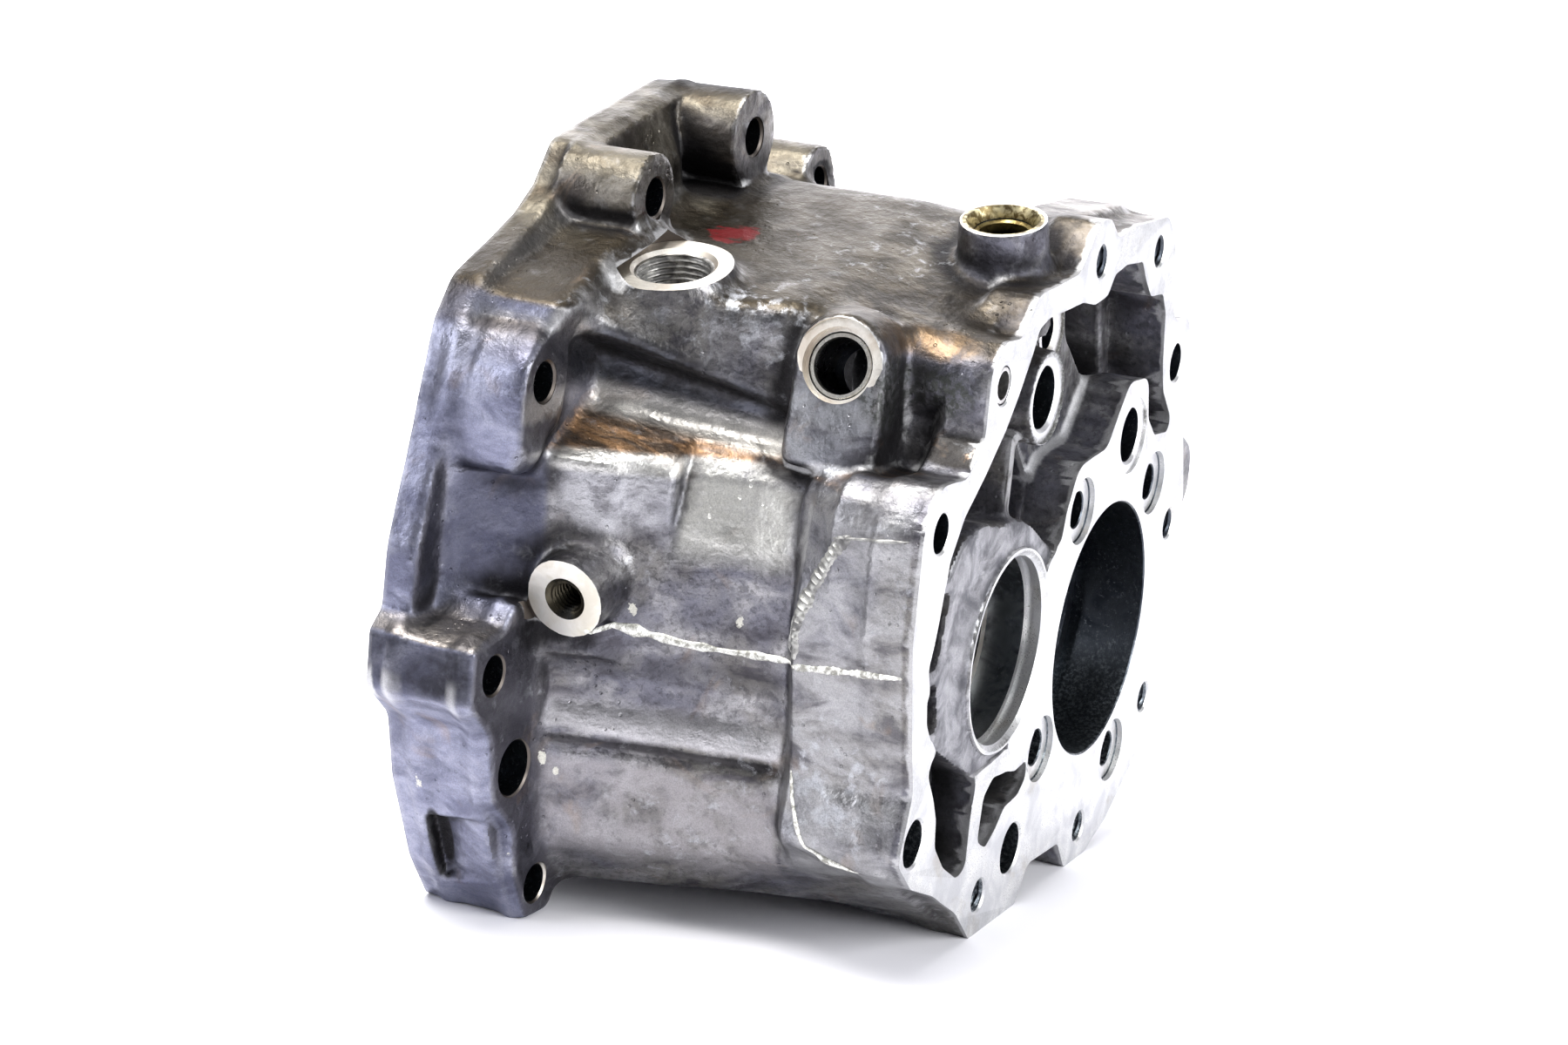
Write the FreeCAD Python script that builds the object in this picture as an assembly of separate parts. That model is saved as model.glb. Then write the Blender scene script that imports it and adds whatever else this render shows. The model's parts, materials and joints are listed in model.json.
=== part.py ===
import FreeCAD, Part
import math
import os
from FreeCAD import Vector as V

# Gearbox housing, bare cast-aluminium case with a machined end face.
# Frame: +X out of the machined end face (parallel to the shafts), +Y away
# from the viewer, +Z up.  Origin on the axis of the output-bearing bore, in
# the plane of the machined end face.  Millimetres.

# ------------------------------------------------------------------ driving
X_FACE = 0.0          # machined end face
X_EAR = -87.0         # spot-faced fronts of the flange ears
X_LIP = -106.5        # front of the thin flange lip
X_FLANGE = -114.0     # mating plane of the bell flange
Z_FLOOR = -62.4       # feet of both flanges
PLATE_T = 12.0        # thickness of the end plate around the bearings

BIG_R = 32.545        # output bearing bore, 65.09 mm
SML_R = 22.62         # input bearing bore, 45.24 mm
SML_C = (-65.0, 7.0)
CLEAR_R = 4.5         # M8 clearance holes
TAP8_R = 3.4          # M8 tapped holes, core size
DECK_TILT = 18.0      # lean of the top deck and its bosses toward the near side, degrees

FLANGE_HOLES = [(-47.4, 115.4), (-95.6, 103.4), (-6.7, 101.7), (-140.2, 65.6),
                (-152.1, 1.4), (-126.1, -54.0), (37.5, 71.5), (59.0, -3.0), (43.0, -53.5)]
FLANGE_DOWELS = [(-139.9, -22.8, 6.5)]
FACE_CLEAR = [(-116.4, 43.7, 4.5), (-112.9, -27.6, 5.5), (-48.2, -46.0, 6.35)]
CLEAR_DEPTH = [22.0, 20.0, 24.0]     # how far each runs back through its own boss
FACE_TAPPED = [(-32.1, 96.3), (11.0, 95.5), (2.3, -53.5), (-67.4, -52.6), (47.0, 19.7), (44.3, -27.8)]
RETAINER = [(-24.9, 34.4), (29.4, 33.5), (-34.9, -23.8), (21.9, -37.4)]
SLEEVE_C = (-88.6, 72.9)
DOWEL_FAR = (36.5, 64.5)
RAIL_1 = (-57.5, 66.2)
RAIL_2 = (7.6, 48.9)
RAIL_3 = (-38.0, 78.5)


# ------------------------------------------------------------------ helpers
def rwire(pts, x):
    """Closed wire in the plane X = x; each vertex is (y, z, r) rounded by r."""
    n = len(pts)
    tan = []
    for i in range(n):
        p = pts[i]
        a = pts[i - 1]
        b = pts[(i + 1) % n]
        r = p[2] if len(p) > 2 else 0.0
        P = V(x, p[0], p[1])
        u = (V(x, a[0], a[1]) - P)
        w = (V(x, b[0], b[1]) - P)
        lu, lw = u.Length, w.Length
        u.normalize()
        w.normalize()
        c = max(-1.0, min(1.0, u.dot(w)))
        ang = math.acos(c)
        if r <= 0 or ang > math.radians(178.5):
            tan.append((P, P, None))
            continue
        d = r / math.tan(ang / 2)
        lim = 0.47 * min(lu, lw)
        if d > lim:
            d = lim
            r = d * math.tan(ang / 2)
        T1 = P + u * d
        T2 = P + w * d
        bis = u + w
        bis.normalize()
        M = P + bis * (r / math.sin(ang / 2) - r)
        tan.append((T1, T2, M))
    edges = []
    for i in range(n):
        T1, T2, M = tan[i]
        if M is not None:
            edges.append(Part.Arc(T1, M, T2).toShape())
        N1 = tan[(i + 1) % n][0]
        if (N1 - T2).Length > 1e-4:
            edges.append(Part.makeLine(T2, N1))
    return Part.Wire(edges)


def prism(pts, x0, x1):
    f = Part.Face(rwire(pts, x0))
    return f.extrude(V(x1 - x0, 0, 0))


def soft(solid, x, r):
    """Round every edge of a prism that lies in the plane X = x."""
    es = [e for e in solid.Edges if abs(e.BoundBox.XMin - x) < 1e-3 and abs(e.BoundBox.XMax - x) < 1e-3]
    return solid.makeFillet(r, es)


def loft(sections):
    """sections: list of (x, pts); ruled between neighbours."""
    out = None
    for (xa, pa), (xb, pb) in zip(sections[:-1], sections[1:]):
        s = Part.makeLoft([rwire(pa, xa), rwire(pb, xb)], True, True)
        out = s if out is None else out.fuse(s)
    return out


def cylx(c, r, x0, x1):
    return Part.makeCylinder(r, abs(x1 - x0), V(min(x0, x1), c[0], c[1]), V(1, 0, 0))


def conex(c, r0, r1, x0, x1):
    """Frustum along X, radius r0 at x0 and r1 at x1 (x1 > x0)."""
    return Part.makeCone(r0, r1, x1 - x0, V(x0, c[0], c[1]), V(1, 0, 0))


def spin(profile, origin, axis):
    """Solid of revolution.  profile: (radius, height) points from the axis
    and back to it; a third value on a point marks the middle of an arc."""
    axis = V(*axis)
    axis.normalize()
    ref = V(1, 0, 0) if abs(axis.x) < 0.9 else V(0, 1, 0)
    rad = ref - axis * ref.dot(axis)
    rad.normalize()
    o = V(*origin)

    def P(p):
        return o + rad * p[0] + axis * p[1]
    edges = []
    i = 0
    n = len(profile)
    while i < n:
        a = profile[i]
        b = profile[(i + 1) % n]
        if len(b) > 2:
            c = profile[(i + 2) % n]
            edges.append(Part.Arc(P(a), P(b), P(c)).toShape())
            i += 2
        else:
            if (P(a) - P(b)).Length > 1e-6:
                edges.append(Part.makeLine(P(a), P(b)))
            i += 1
    f = Part.Face(Part.Wire(edges))
    return f.revolve(o, axis, 360)


def bore(origin, axis, r, depth, mouth=0.0, tip=True):
    """Cutting tool for a hole: mouth = width of the 45 degree lead-in."""
    top = 2.0
    prof = [(0, top), (r + mouth, top), (r + mouth, 0)]
    if mouth > 0:
        prof += [(r, -mouth)]
    prof += [(r, -depth)]
    prof += [(0, -depth - (r * 0.58 if tip else 0.0))]
    return spin(prof, origin, axis)


def hull_ear(c, r, foot, x0, x1, rr=3.0):
    """Ear of radius r around c whose flanks run down to the two foot points."""
    a, b = foot
    cy = cylx(c, r, x0, x1)
    pts = []
    for q, sgn in ((a, 1), (b, -1)):
        d = V(0, q[0] - c[0], q[1] - c[1])
        L = d.Length
        base = math.atan2(d.z, d.y)
        al = math.acos(min(1.0, r / L))
        t = base + sgn * al
        pts.append(((c[0] + r * math.cos(t), c[1] + r * math.sin(t)), q))
    (ta, qa), (tb, qb) = pts
    return cy.fuse(prism([ta, qa, qb, tb], x0, x1))


def join(base, solids):
    for s in solids:
        base = base.fuse(s)
    return base


def carve(base, tools):
    for t in tools:
        base = base.cut(t)
    return base


# ------------------------------------------------------- end-face outline
RIM = [(-70.4, -62.4, 1.5), (-82.0, -52.9, 3), (-98.0, -44.2, 4), (-112.0, -38.6, 4), (-121.2, -30.5, 4),
       (-117.0, -15.5, 8), (-121.4, 0.0, 14), (-126.6, 20.0, 14), (-127.4, 45.5, 7), (-119.0, 54.4, 6),
       (-105.5, 54.0, 5), (-96.9, 62.0, 5), (-97.0, 78.5, 6), (-90.5, 82.8, 4), (-81.0, 82.4, 4),
       (-73.0, 91.6, 7), (-47.5, 94.6, 5), (-42.0, 100.5, 4), (-37.2, 106.4, 4), (-29.0, 106.2, 4),
       (-22.0, 101.0, 5), (-9.0, 103.0, 6), (15.0, 104.0, 6), (23.5, 97.0, 5), (24.5, 84.0, 5),
       (31.0, 76.0, 5), (42.0, 76.0, 6), (49.0, 67.0, 6), (46.0, 52.0, 6), (52.0, 40.0, 8),
       (57.5, 26.0, 6), (57.0, 12.0, 6), (51.5, 2.0, 8), (51.5, -16.0, 8), (56.0, -26.0, 6),
       (53.0, -37.0, 6), (42.0, -45.5, 8), (24.0, -57.0, 8), (9.5, -62.4, 4), (-6.0, -62.4, 1.5),
       (-13.0, -54.0, 3), (-34.0, -53.5, 4), (-41.0, -62.4, 1.5)]

# ------------------------------------------------------- body sections
S108 = [(-119, -57, 5), (-129, -45, 10), (-133, -10, 30), (-139, 49, 8), (-139, 58, 6), (-139, 70, 8),
        (-137, 78, 8), (-125, 84.5, 12), (-37, 107, 14), (2, 100, 16), (32, 80, 18), (55, 32, 24),
        (52, -30, 22), (34, -57, 8)]
S87 = [(-114, -56, 6), (-126, -44, 10), (-132, -10, 30), (-133, 49, 6), (-117, 59, 5), (-116, 71, 5),
       (-131, 79, 5), (-121, 83.5, 10), (-37, 105.5, 14), (2, 99, 16), (28, 80, 18), (50, 32, 24),
       (47, -30, 22), (30, -57, 8)]
S45 = [(-101, -53.5, 6), (-112, -41, 9), (-115.5, -8, 30), (-117.5, 48.5, 6), (-104, 53.5, 4), (-103, 60, 4),
       (-106.5, 63.5, 4), (-106.5, 85, 6), (-37, 105, 14), (2, 99, 16), (24, 82, 16), (43, 32, 20),
       (41, -30, 20), (24, -56, 8)]
S9 = [(-80, -55, 6), (-109, -38, 9), (-113, -8, 30), (-115, 47.5, 6), (-97, 51.5, 5), (-93, 60, 4),
      (-91, 66, 4), (-91, 80, 6), (-37, 101, 14), (2, 99, 10), (17, 90, 10), (40, 32, 20),
      (39, -28, 20), (16, -55, 8)]
# inside faces, about 6 mm in from the outer ones
C116 = [(-110, -49, 10), (-121, -42, 10), (-126, -8, 30), (-128, 40, 12), (-126, 60, 10), (-121, 70, 10),
        (-112, 77, 12), (-37, 97, 14), (-2, 92, 16), (25, 74, 18), (46, 30, 22), (43, -28, 20), (27, -49, 10)]
C87 = [(-107, -49, 10), (-119, -41, 10), (-125, -8, 30), (-125, 42, 8), (-109, 52, 6), (-106, 68, 6),
       (-104, 77, 8), (-37, 97, 14), (-2, 91, 16), (22, 74, 18), (43, 30, 22), (40, -28, 20), (24, -49, 10)]
C45 = [(-96, -46.5, 10), (-105, -38, 9), (-108.5, -8, 30), (-110, 41, 6), (-97, 46, 6), (-95, 60, 5),
       (-97, 76, 8), (-37, 96.5, 14), (-2, 91, 16), (18, 76, 16), (36, 30, 20), (34, -28, 20), (18, -48, 10)]
C12 = [(-78, -45.5, 8), (-102, -35, 8), (-106, -8, 30), (-108, 40, 6), (-90, 45, 6), (-84, 60, 6),
       (-82, 74, 8), (-37, 92, 10), (-2, 92, 10), (12, 82, 10), (33, 30, 18), (33, -24, 18), (12, -47, 8)]

# ------------------------------------------------------- flange outline
LIP = [(-129.0, -62.4, 2), (-138.0, -50.0, 8), (-147.8, -28.5, 10), (-151.5, -13.0, 6), (-161.3, -4.5, 5),
       (-161.3, 8.2, 2), (-156.8, 12.5, 3), (-156.5, 26.0, 20), (-151.5, 45.0, 20), (-147.8, 60.0, 16),
       (-143.5, 76.0, 10), (-137.0, 85.0, 10), (-112.5, 97.3, 10), (-105.0, 103.5, 5), (-98.5, 113.6, 6),
       (-50.0, 126.6, 10), (-36.0, 126.0, 9), (-33.0, 110.0, 6), (-12.0, 112.2, 9), (3.0, 110.0, 8),
       (14.0, 94.0, 10), (34.0, 84.0, 10), (46.5, 80.0, 9), (51.0, 64.0, 8), (57.0, 40.0, 18),
       (59.0, 12.0, 10), (70.0, 6.0, 8), (70.0, -12.0, 8), (58.5, -18.0, 8), (56.0, -40.0, 12),
       (52.0, -62.4, 3), (31.0, -62.4, 3), (24.0, -55.5, 4), (-108.0, -55.5, 4), (-116.0, -62.4, 3)]

# lower near ears: one block from the lip to the ear fronts
EAR_LOW = [(-129.0, -62.4, 2), (-138.0, -50.0, 8), (-147.8, -28.5, 10), (-151.5, -13.0, 6), (-161.3, -4.5, 5),
           (-161.3, 8.2, 2), (-156.0, 10.0, 3), (-148.8, 11.5, 3), (-144.5, 16.5, 3), (-136.0, 14.0, 2), (-118.0, 0.0, 2),
           (-118.0, -40.0, 2), (-112.0, -50.0, 3), (-118.0, -62.4, 4)]
EAR_LOW_FRONT = [(-129.0, -62.4, 2), (-136.0, -50.0, 4), (-138.5, -38.0, 4), (-148.5, -29.0, 5), (-151.5, -13.0, 6),
                 (-161.3, -4.5, 5), (-161.3, 8.2, 2), (-156.0, 10.0, 3), (-148.8, 11.5, 3), (-144.5, 16.5, 3),
                 (-136.0, 14.0, 2), (-118.0, 0.0, 2), (-118.0, -40.0, 2), (-112.0, -50.0, 3), (-118.0, -62.4, 4)]
# upper near ear with its long cheek
EAR_UP = [(-131.2, 80.8, 2), (-136.4, 77.5, 6), (-143.0, 74.3, 6), (-148.0, 69.5, 8), (-149.0, 62.0, 10),
          (-148.0, 52.0, 4), (-141.0, 46.0, 3), (-137.0, 54.0, 4), (-131.5, 56.0, 5), (-129.4, 68.0, 8)]
CHEEK = [(-131.2, 80.8, 6), (-143.2, 75.5, 8), (-148.6, 66.0, 10), (-149.0, 56.0, 8), (-147.5, 45.0, 4), (-120.0, 44.0, 2),
         (-112.0, 60.0, 2), (-112.0, 84.0, 2)]
SHOULDER = [(-134.0, 79.5, 8), (-139.0, 81.0, 8), (-128.0, 87.0, 10), (-110.0, 94.5, 10), (-96.0, 99.0, 4), (-80.0, 94.0, 2), (-112.0, 74.0, 2)]

# ------------------------------------------------------- case outer
body = loft([(-108.0, S108), (-87.0, S87), (-45.0, S45), (-8.0, S9)])
# panel under the shelf that leans inward at its top, with a small step at its
# flange end
LEAN_A = [(-138.0, 27.0, 0), (-123.6, 27.0, 4), (-118.3, 46.6, 4), (-114.3, 53.4, 3), (-114.0, 60.0, 2), (-138.0, 60.0, 0)]
LEAN_B = [(-138.0, 27.0, 0), (-117.6, 27.0, 4), (-112.8, 47.0, 4), (-108.4, 52.0, 3), (-108.0, 60.0, 2), (-138.0, 60.0, 0)]
LEAN_C = [(-138.0, 27.0, 0), (-116.4, 27.0, 4), (-111.4, 47.2, 4), (-107.0, 51.5, 3), (-106.5, 60.0, 2), (-138.0, 60.0, 0)]
body = body.cut(loft([(-61.5, LEAN_A), (-45.0, LEAN_B), (-33.5, LEAN_C)]))
# shallow cove under the parting line and a narrow groove below it, along the near wall
COVE_A = [(-145.0, 3.4, 0), (-132.6, 3.4, 2), (-129.9, -2.6, 5), (-129.6, -8.4, 5), (-131.9, -14.4, 2), (-145.0, -14.4, 0)]
COVE_B = [(-130.0, 3.4, 0), (-116.0, 3.4, 2), (-113.5, -2.6, 5), (-113.1, -8.9, 5), (-115.1, -15.2, 2), (-130.0, -15.2, 0)]
COVE_C = [(-130.0, 3.4, 0), (-114.9, 3.4, 2), (-112.3, -2.6, 5), (-112.0, -9.0, 5), (-113.9, -15.4, 2), (-130.0, -15.4, 0)]
GROOVE_A = [(-145.0, -16.2, 0), (-131.2, -16.2, 1), (-129.3, -18.0, 1.2), (-130.2, -20.4, 1), (-145.0, -20.4, 0)]
GROOVE_B = [(-130.0, -16.8, 0), (-114.9, -16.8, 1), (-112.9, -18.5, 1.2), (-113.9, -20.8, 1), (-130.0, -20.8, 0)]
GROOVE_C = [(-130.0, -17.0, 0), (-113.4, -17.0, 1), (-111.4, -18.7, 1.2), (-112.3, -21.0, 1), (-130.0, -21.0, 0)]
body = body.cut(loft([(-86.5, COVE_A), (-45.0, COVE_B), (-27.0, COVE_C)]))
body = body.cut(loft([(-86.5, GROOVE_A), (-45.0, GROOVE_B), (-27.0, GROOVE_C)]))
rim = soft(prism(RIM, -PLATE_T, X_FACE), -PLATE_T, 1.2)
lip = soft(prism(LIP, X_FLANGE, X_LIP), X_LIP, 1.2)
parts = [rim, lip]

# bulge beside the small bearing, from the end face back
BULGE_F = [(-120.6, -31.5, 4), (-117.2, -15.5, 10), (-121.0, 0.0, 14), (-126.0, 20.0, 14), (-126.6, 45.0, 8), (-119.0, 53.0, 6),
           (-100.0, 52.0, 3), (-98.0, -38.0, 3), (-111.5, -38.0, 5)]
BULGE_N = [(-120.4, -31.5, 4), (-117.2, -15.5, 10), (-120.8, 0.0, 14), (-125.2, 20.0, 14), (-125.8, 44.5, 8), (-118.7, 52.5, 6),
           (-100.0, 51.0, 3), (-98.0, -38.0, 3), (-111.5, -38.0, 5)]
BULGE_M = [(-120.0, -31.5, 4), (-116.8, -15.5, 10), (-120.4, 0.0, 14), (-124.2, 18.0, 14), (-118.8, 44.5, 8), (-114.5, 50.5, 6),
           (-100.0, 50.0, 3), (-98.0, -38.0, 3), (-111.0, -38.0, 5)]
BULGE_B = [(-112.5, -29.0, 6), (-111.5, -15.5, 10), (-113.0, 0.0, 14), (-114.5, 18.0, 14), (-114.0, 42.0, 8), (-111.0, 48.0, 6),
           (-100.0, 48.0, 3), (-98.0, -36.0, 3), (-107.0, -36.5, 5)]
bulge = loft([(-33.6, BULGE_B), (-29.8, BULGE_M), (-21.0, BULGE_N), (-6.0, BULGE_F)])
parts.append(bulge)

# skirt under the end plate running down to the near foot
FOOT_F = [(-70.6, -62.0, 1.5), (-82.0, -52.9, 3), (-98.0, -44.2, 4), (-98.0, -40.0, 2), (-60.0, -46.0, 2), (-56.0, -62.0, 1.5)]
FOOT_B = [(-84.0, -56.5, 1.5), (-90.0, -52.0, 3), (-102.0, -45.0, 4), (-100.0, -40.0, 2), (-70.0, -46.0, 2), (-70.0, -55.0, 1.5)]
parts.append(loft([(-42.0, FOOT_B), (-8.0, FOOT_F)]))

# ear blocks of the flange
parts.append(prism(EAR_LOW, -108.0, -91.0))
parts.append(prism(EAR_LOW_FRONT, -92.0, X_EAR))
parts.append(prism(CHEEK, -108.0, X_EAR - 1.5))
parts.append(prism(EAR_UP, -100.0, X_EAR))
parts.append(prism(SHOULDER, -108.0, -84.0))

# flare of the near wall toward the flange lip, between the ear blocks
flare = Part.Face(Part.Wire([Part.makeLine(V(-108, -147.5, 4), V(-108, -118, 4)),
                             Part.makeLine(V(-108, -118, 4), V(-66, -116, 4)),
                             Part.makeLine(V(-66, -116, 4), V(-74, -130, 4)),
                             Part.Arc(V(-74, -130, 4), V(-94, -137.5, 4), V(-108, -147.5, 4)).toShape()])).extrude(V(0, 0, 44))
parts.append(flare)

# top ears: long round bosses with skirts
parts.append(hull_ear((-47.4, 115.4), 11.2, ((-63.0, 97.0), (-28.0, 104.0)), -108.0, X_EAR))
parts.append(hull_ear((-95.6, 103.4), 10.3, ((-112.0, 88.0), (-77.0, 93.0)), -108.0, X_EAR))
parts.append(hull_ear((-6.7, 101.7), 10.0, ((-24.0, 98.0), (6.0, 88.0)), -108.0, X_EAR))
# far ears, same pattern
parts.append(hull_ear((37.5, 71.5), 11.5, ((18.0, 82.0), (46.0, 48.0)), -108.0, X_EAR))
parts.append(hull_ear((59.0, -3.0), 10.5, ((46.0, 14.0), (46.0, -20.0)), -108.0, X_EAR))
parts.append(prism([(52.0, -62.4, 3), (31.0, -62.4, 3), (26.0, -52.0, 3), (34.0, -34.0, 4), (50.0, -36.0, 4), (53.0, -48.0, 8)], -108.0, X_EAR))

# ribs between the two top ears and down the near side
parts.append(prism([(-98.5, 112.0, 3), (-50.0, 125.2, 6), (-50.0, 104.0, 2), (-95.0, 92.0, 2)], -108.0, -103.5))
parts.append(prism([(-72.0, 98.0, 1), (-74.6, 115.0, 1), (-71.0, 116.0, 1), (-67.0, 99.0, 1)], -107.0, -96.0))

# raised run of the selector rail along the near top edge
parts.append(cylx(SLEEVE_C, 9.8, -30.0, -2.0))
parts.append(prism([(-97.8, 61.5, 3), (-97.8, 74.0, 3), (-86.0, 74.0, 2), (-86.0, 60.0, 2)], -10.0, -2.0))

# side boss for the cross shaft: arched pad with a leaning axis
S1_C = (-31.0, -110.5, 75.0)
S1_AX = (0.0, -math.cos(math.radians(12)), math.sin(math.radians(12)))
pad = Part.Face(Part.Wire([Part.makeLine(V(-42.3, -96, 51.5), V(-42.3, -96, 75.0)),
                           Part.Arc(V(-42.3, -96, 75.0), V(-31.0, -96, 87.0), V(-19.7, -96, 75.0)).toShape(),
                           Part.makeLine(V(-19.7, -96, 75.0), V(-19.7, -96, 51.5)),
                           Part.makeLine(V(-19.7, -96, 51.5), V(-42.3, -96, 51.5))])).extrude(V(0, -15.5, 0))
cutpad = Part.makeBox(60, 20, 60, V(-61, -20, -30))
cutpad.rotate(V(0, 0, 0), V(1, 0, 0), -6)
cutpad.translate(V(0, -110.2, 75.0))
pad = pad.cut(cutpad)
es = [e for e in pad.Edges if abs(e.BoundBox.YLength) > 8 and e.BoundBox.XLength < 0.1]
try:
    pad = pad.makeFillet(3.0, es)
except Exception:
    pass
parts.append(pad)

# slanted boss low on the near side
S2_C = (-78.0, -139.5, 18.2)
S2_AX = (0.0, -0.968, -0.25)
parts.append(spin([(0, 0), (9.3, 0), (9.3, -9.0), (9.9, -12.0, 1), (12.5, -15.0), (0, -15.0)], S2_C, S2_AX))

# two bosses on the top deck
T1_C = (-76.0, -105.0, 90.0)
T2_C = (-16.0, -59.0, 105.8)
TAX = (0.0, -math.sin(math.radians(DECK_TILT)), math.cos(math.radians(DECK_TILT)))
parts.append(spin([(0, 0), (12.2, 0), (13.1, -0.9), (13.1, -3.2), (14.6, -7.0, 1), (19.5, -9.5), (19.5, -13.0), (0, -13.0)], T1_C, TAX))
parts.append(spin([(0, 0), (9.6, 0), (10.2, -0.6), (10.9, -8.0), (11.9, -11.4, 1), (15.5, -13.5), (15.5, -19.0), (0, -19.0)], T2_C, TAX))

# pad behind the far top corner of the end face
parts.append(prism([(-30.0, 96.0, 2), (-28.0, 104.6, 3), (10.0, 106.0, 3), (14.0, 96.0, 2)], -26.0, -10.0))
# cast lug on the far side, set back from the machined face
LUG = [(46.0, 46.0, 2), (62.0, 43.5, 5), (76.5, 36.5, 8), (79.0, 24.0, 8), (70.0, 13.0, 7), (46.0, 8.0, 2)]
parts.append(soft(prism(LUG, -17.0, -4.5), -4.5, 1.5))
# shoulder that thickens the far wall behind the plate, beside the upper window
BACK_PAD = [(8.0, 92.0, 3), (19.0, 90.0, 4), (27.0, 84.0, 5), (31.5, 74.0, 6), (36.0, 60.0, 4), (30.0, 52.0, 1), (12.0, 80.0, 1)]
parts.append(prism(BACK_PAD, -27.0, -10.0))

case = join(body, parts)
case = case.removeSplitter()
print("outer", case.isValid(), len(case.Solids), round(case.Volume / 1000.0, 1))

# ------------------------------------------------------- inside
cavity = loft([(-116.0, C116), (-87.0, C87), (-45.0, C45), (-PLATE_T, C12)])
tools = [cavity]

# openings through the end plate
UPPER = [(-2.0, 94.0, 1.5), (-14.0, 94.3, 4), (-21.5, 92.6, 3), (-25.5, 87.5, 4), (-34.0, 86.0, 4), (-42.0, 87.2, 5),
         (-64.7, 85.6, 4), (-70.2, 83.8, 3), (-72.5, 79.0, 3), (-79.0, 69.2, 6), (-84.6, 62.1, 6), (-94.5, 52.8, 4),
         (-104.0, 45.2, 4), (-109.6, 36.5, 3), (-110.4, 32.0, 2.5), (-105.4, 31.4, 2.5), (-99.0, 38.5, 4), (-88.0, 41.0, 4),
         (-78.0, 39.0, 3), (-62.0, 38.0, 4), (-48.0, 30.0, 3), (-38.0, 27.5, 3), (-36.5, 36.0, 6), (-31.0, 46.5, 8), (-12.0, 48.5, 6),
         (-6.0, 56.0, 6), (0.5, 63.5, 6), (14.5, 63.0, 5), (18.0, 52.0, 3), (25.0, 46.6, 2.5), (36.0, 46.2, 3),
         (37.0, 50.0, 3), (28.0, 58.0, 5), (25.0, 65.0, 5), (21.6, 79.0, 3), (17.5, 84.0, 2.5), (8.0, 84.2, 3), (2.4, 89.0, 3)]
SLOT_2 = [(-109.4, 27.5, 2), (-115.6, 13.0, 2.2), (-114.2, 10.8, 1.5), (-105.5, 11.3, 1.5), (-102.0, 27.6, 2)]
SLOT_3 = [(-114.5, 6.8, 1.5), (-113.0, 0.0, 3), (-109.6, -4.4, 1.5), (-101.6, -4.0, 1.5), (-105.0, 6.8, 1.5)]
WIN_LOW = [(-105.0, -7.6, 3), (-109.2, -12.0, 3), (-103.6, -20.0, 3), (-100.8, -25.0, 4), (-99.8, -32.0, 5), (-93.0, -38.5, 5),
           (-84.0, -43.6, 4), (-78.6, -42.6, 3), (-78.8, -30.0, 6), (-77.4, -21.0, 4), (-86.0, -17.0, 4), (-96.5, -11.5, 5)]
WIN_MID = [(-44.2, -24.4, 2), (-52.0, -25.6, 3), (-58.0, -24.2, 3), (-66.4, -23.6, 3), (-71.5, -27.0, 3), (-72.4, -38.0, 2.5),
           (-66.6, -40.8, 2), (-61.0, -37.4, 4), (-56.4, -33.2, 3), (-48.0, -32.2, 3), (-44.0, -29.0, 2)]
for w in (UPPER, SLOT_2, SLOT_3, WIN_LOW, WIN_MID):
    tools.append(prism(w, -PLATE_T - 3.0, 2.0))

# shallow step that leaves the cast web a little under the machined face
WEB = [(-104.0, 44.0, 3), (-110.6, 31.0, 3), (-114.8, 12.0, 5), (-109.4, -4.0, 6), (-104.0, -9.0, 3), (-78.0, -20.5, 3),
       (-60.0, -18.0, 3), (-54.0, -19.5, 2), (-44.0, -10.0, 3), (-40.8, 7.0, 6), (-46.0, 24.0, 4), (-38.0, 28.0, 3),
       (-60.0, 42.0, 3), (-88.0, 42.0, 4)]
web = prism(WEB, -1.6, 2.0).cut(cylx(SML_C, SML_R + 1.9, -3.0, 3.0))
web = web.cut(prism([(-60.0, -24.0, 0), (-30.0, -24.0, 0), (-30.0, 20.0, 0), (-40.0, 24.0, 0), (-50.0, 20.0, 0)], -3.0, 3.0))
tools.append(web)
case = carve(case, tools)
print("hollowed", case.isValid(), len(case.Solids), round(case.Volume / 1000.0, 1))

# bearing carriers, rail tubes and ribs standing in the hollow
inner = []
inner.append(cylx((0, 0), 40.5, -26.0, -2.0))
inner.append(cylx(SML_C, 29.0, -20.0, -2.0))
inner.append(cylx(RAIL_1, 11.2, -46.0, -1.2))
inner.append(cylx(RAIL_2, 10.2, -46.0, -0.6))
inner.append(cylx(RAIL_3, 8.5, -34.0, -9.0))
# cross wall that ties the rail tubes together
inner.append(prism([(-66.0, 58.0, 3), (-72.0, 78.0, 3), (-62.0, 90.0, 3), (-20.0, 90.0, 3), (-16.0, 74.0, 8), (6.0, 58.0, 4),
                    (14.0, 46.0, 3), (0.0, 36.0, 3), (-30.0, 40.0, 8), (-46.0, 56.0, 8)], -22.0, -13.0))
# upright rib from the first rail tube to the input bearing carrier
inner.append(prism([(-69.0, 58.0, 0.8), (-69.4, 34.0, 0.8), (-66.2, 34.0, 0.8), (-65.6, 58.0, 0.8)], -24.0, -4.0))
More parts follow.
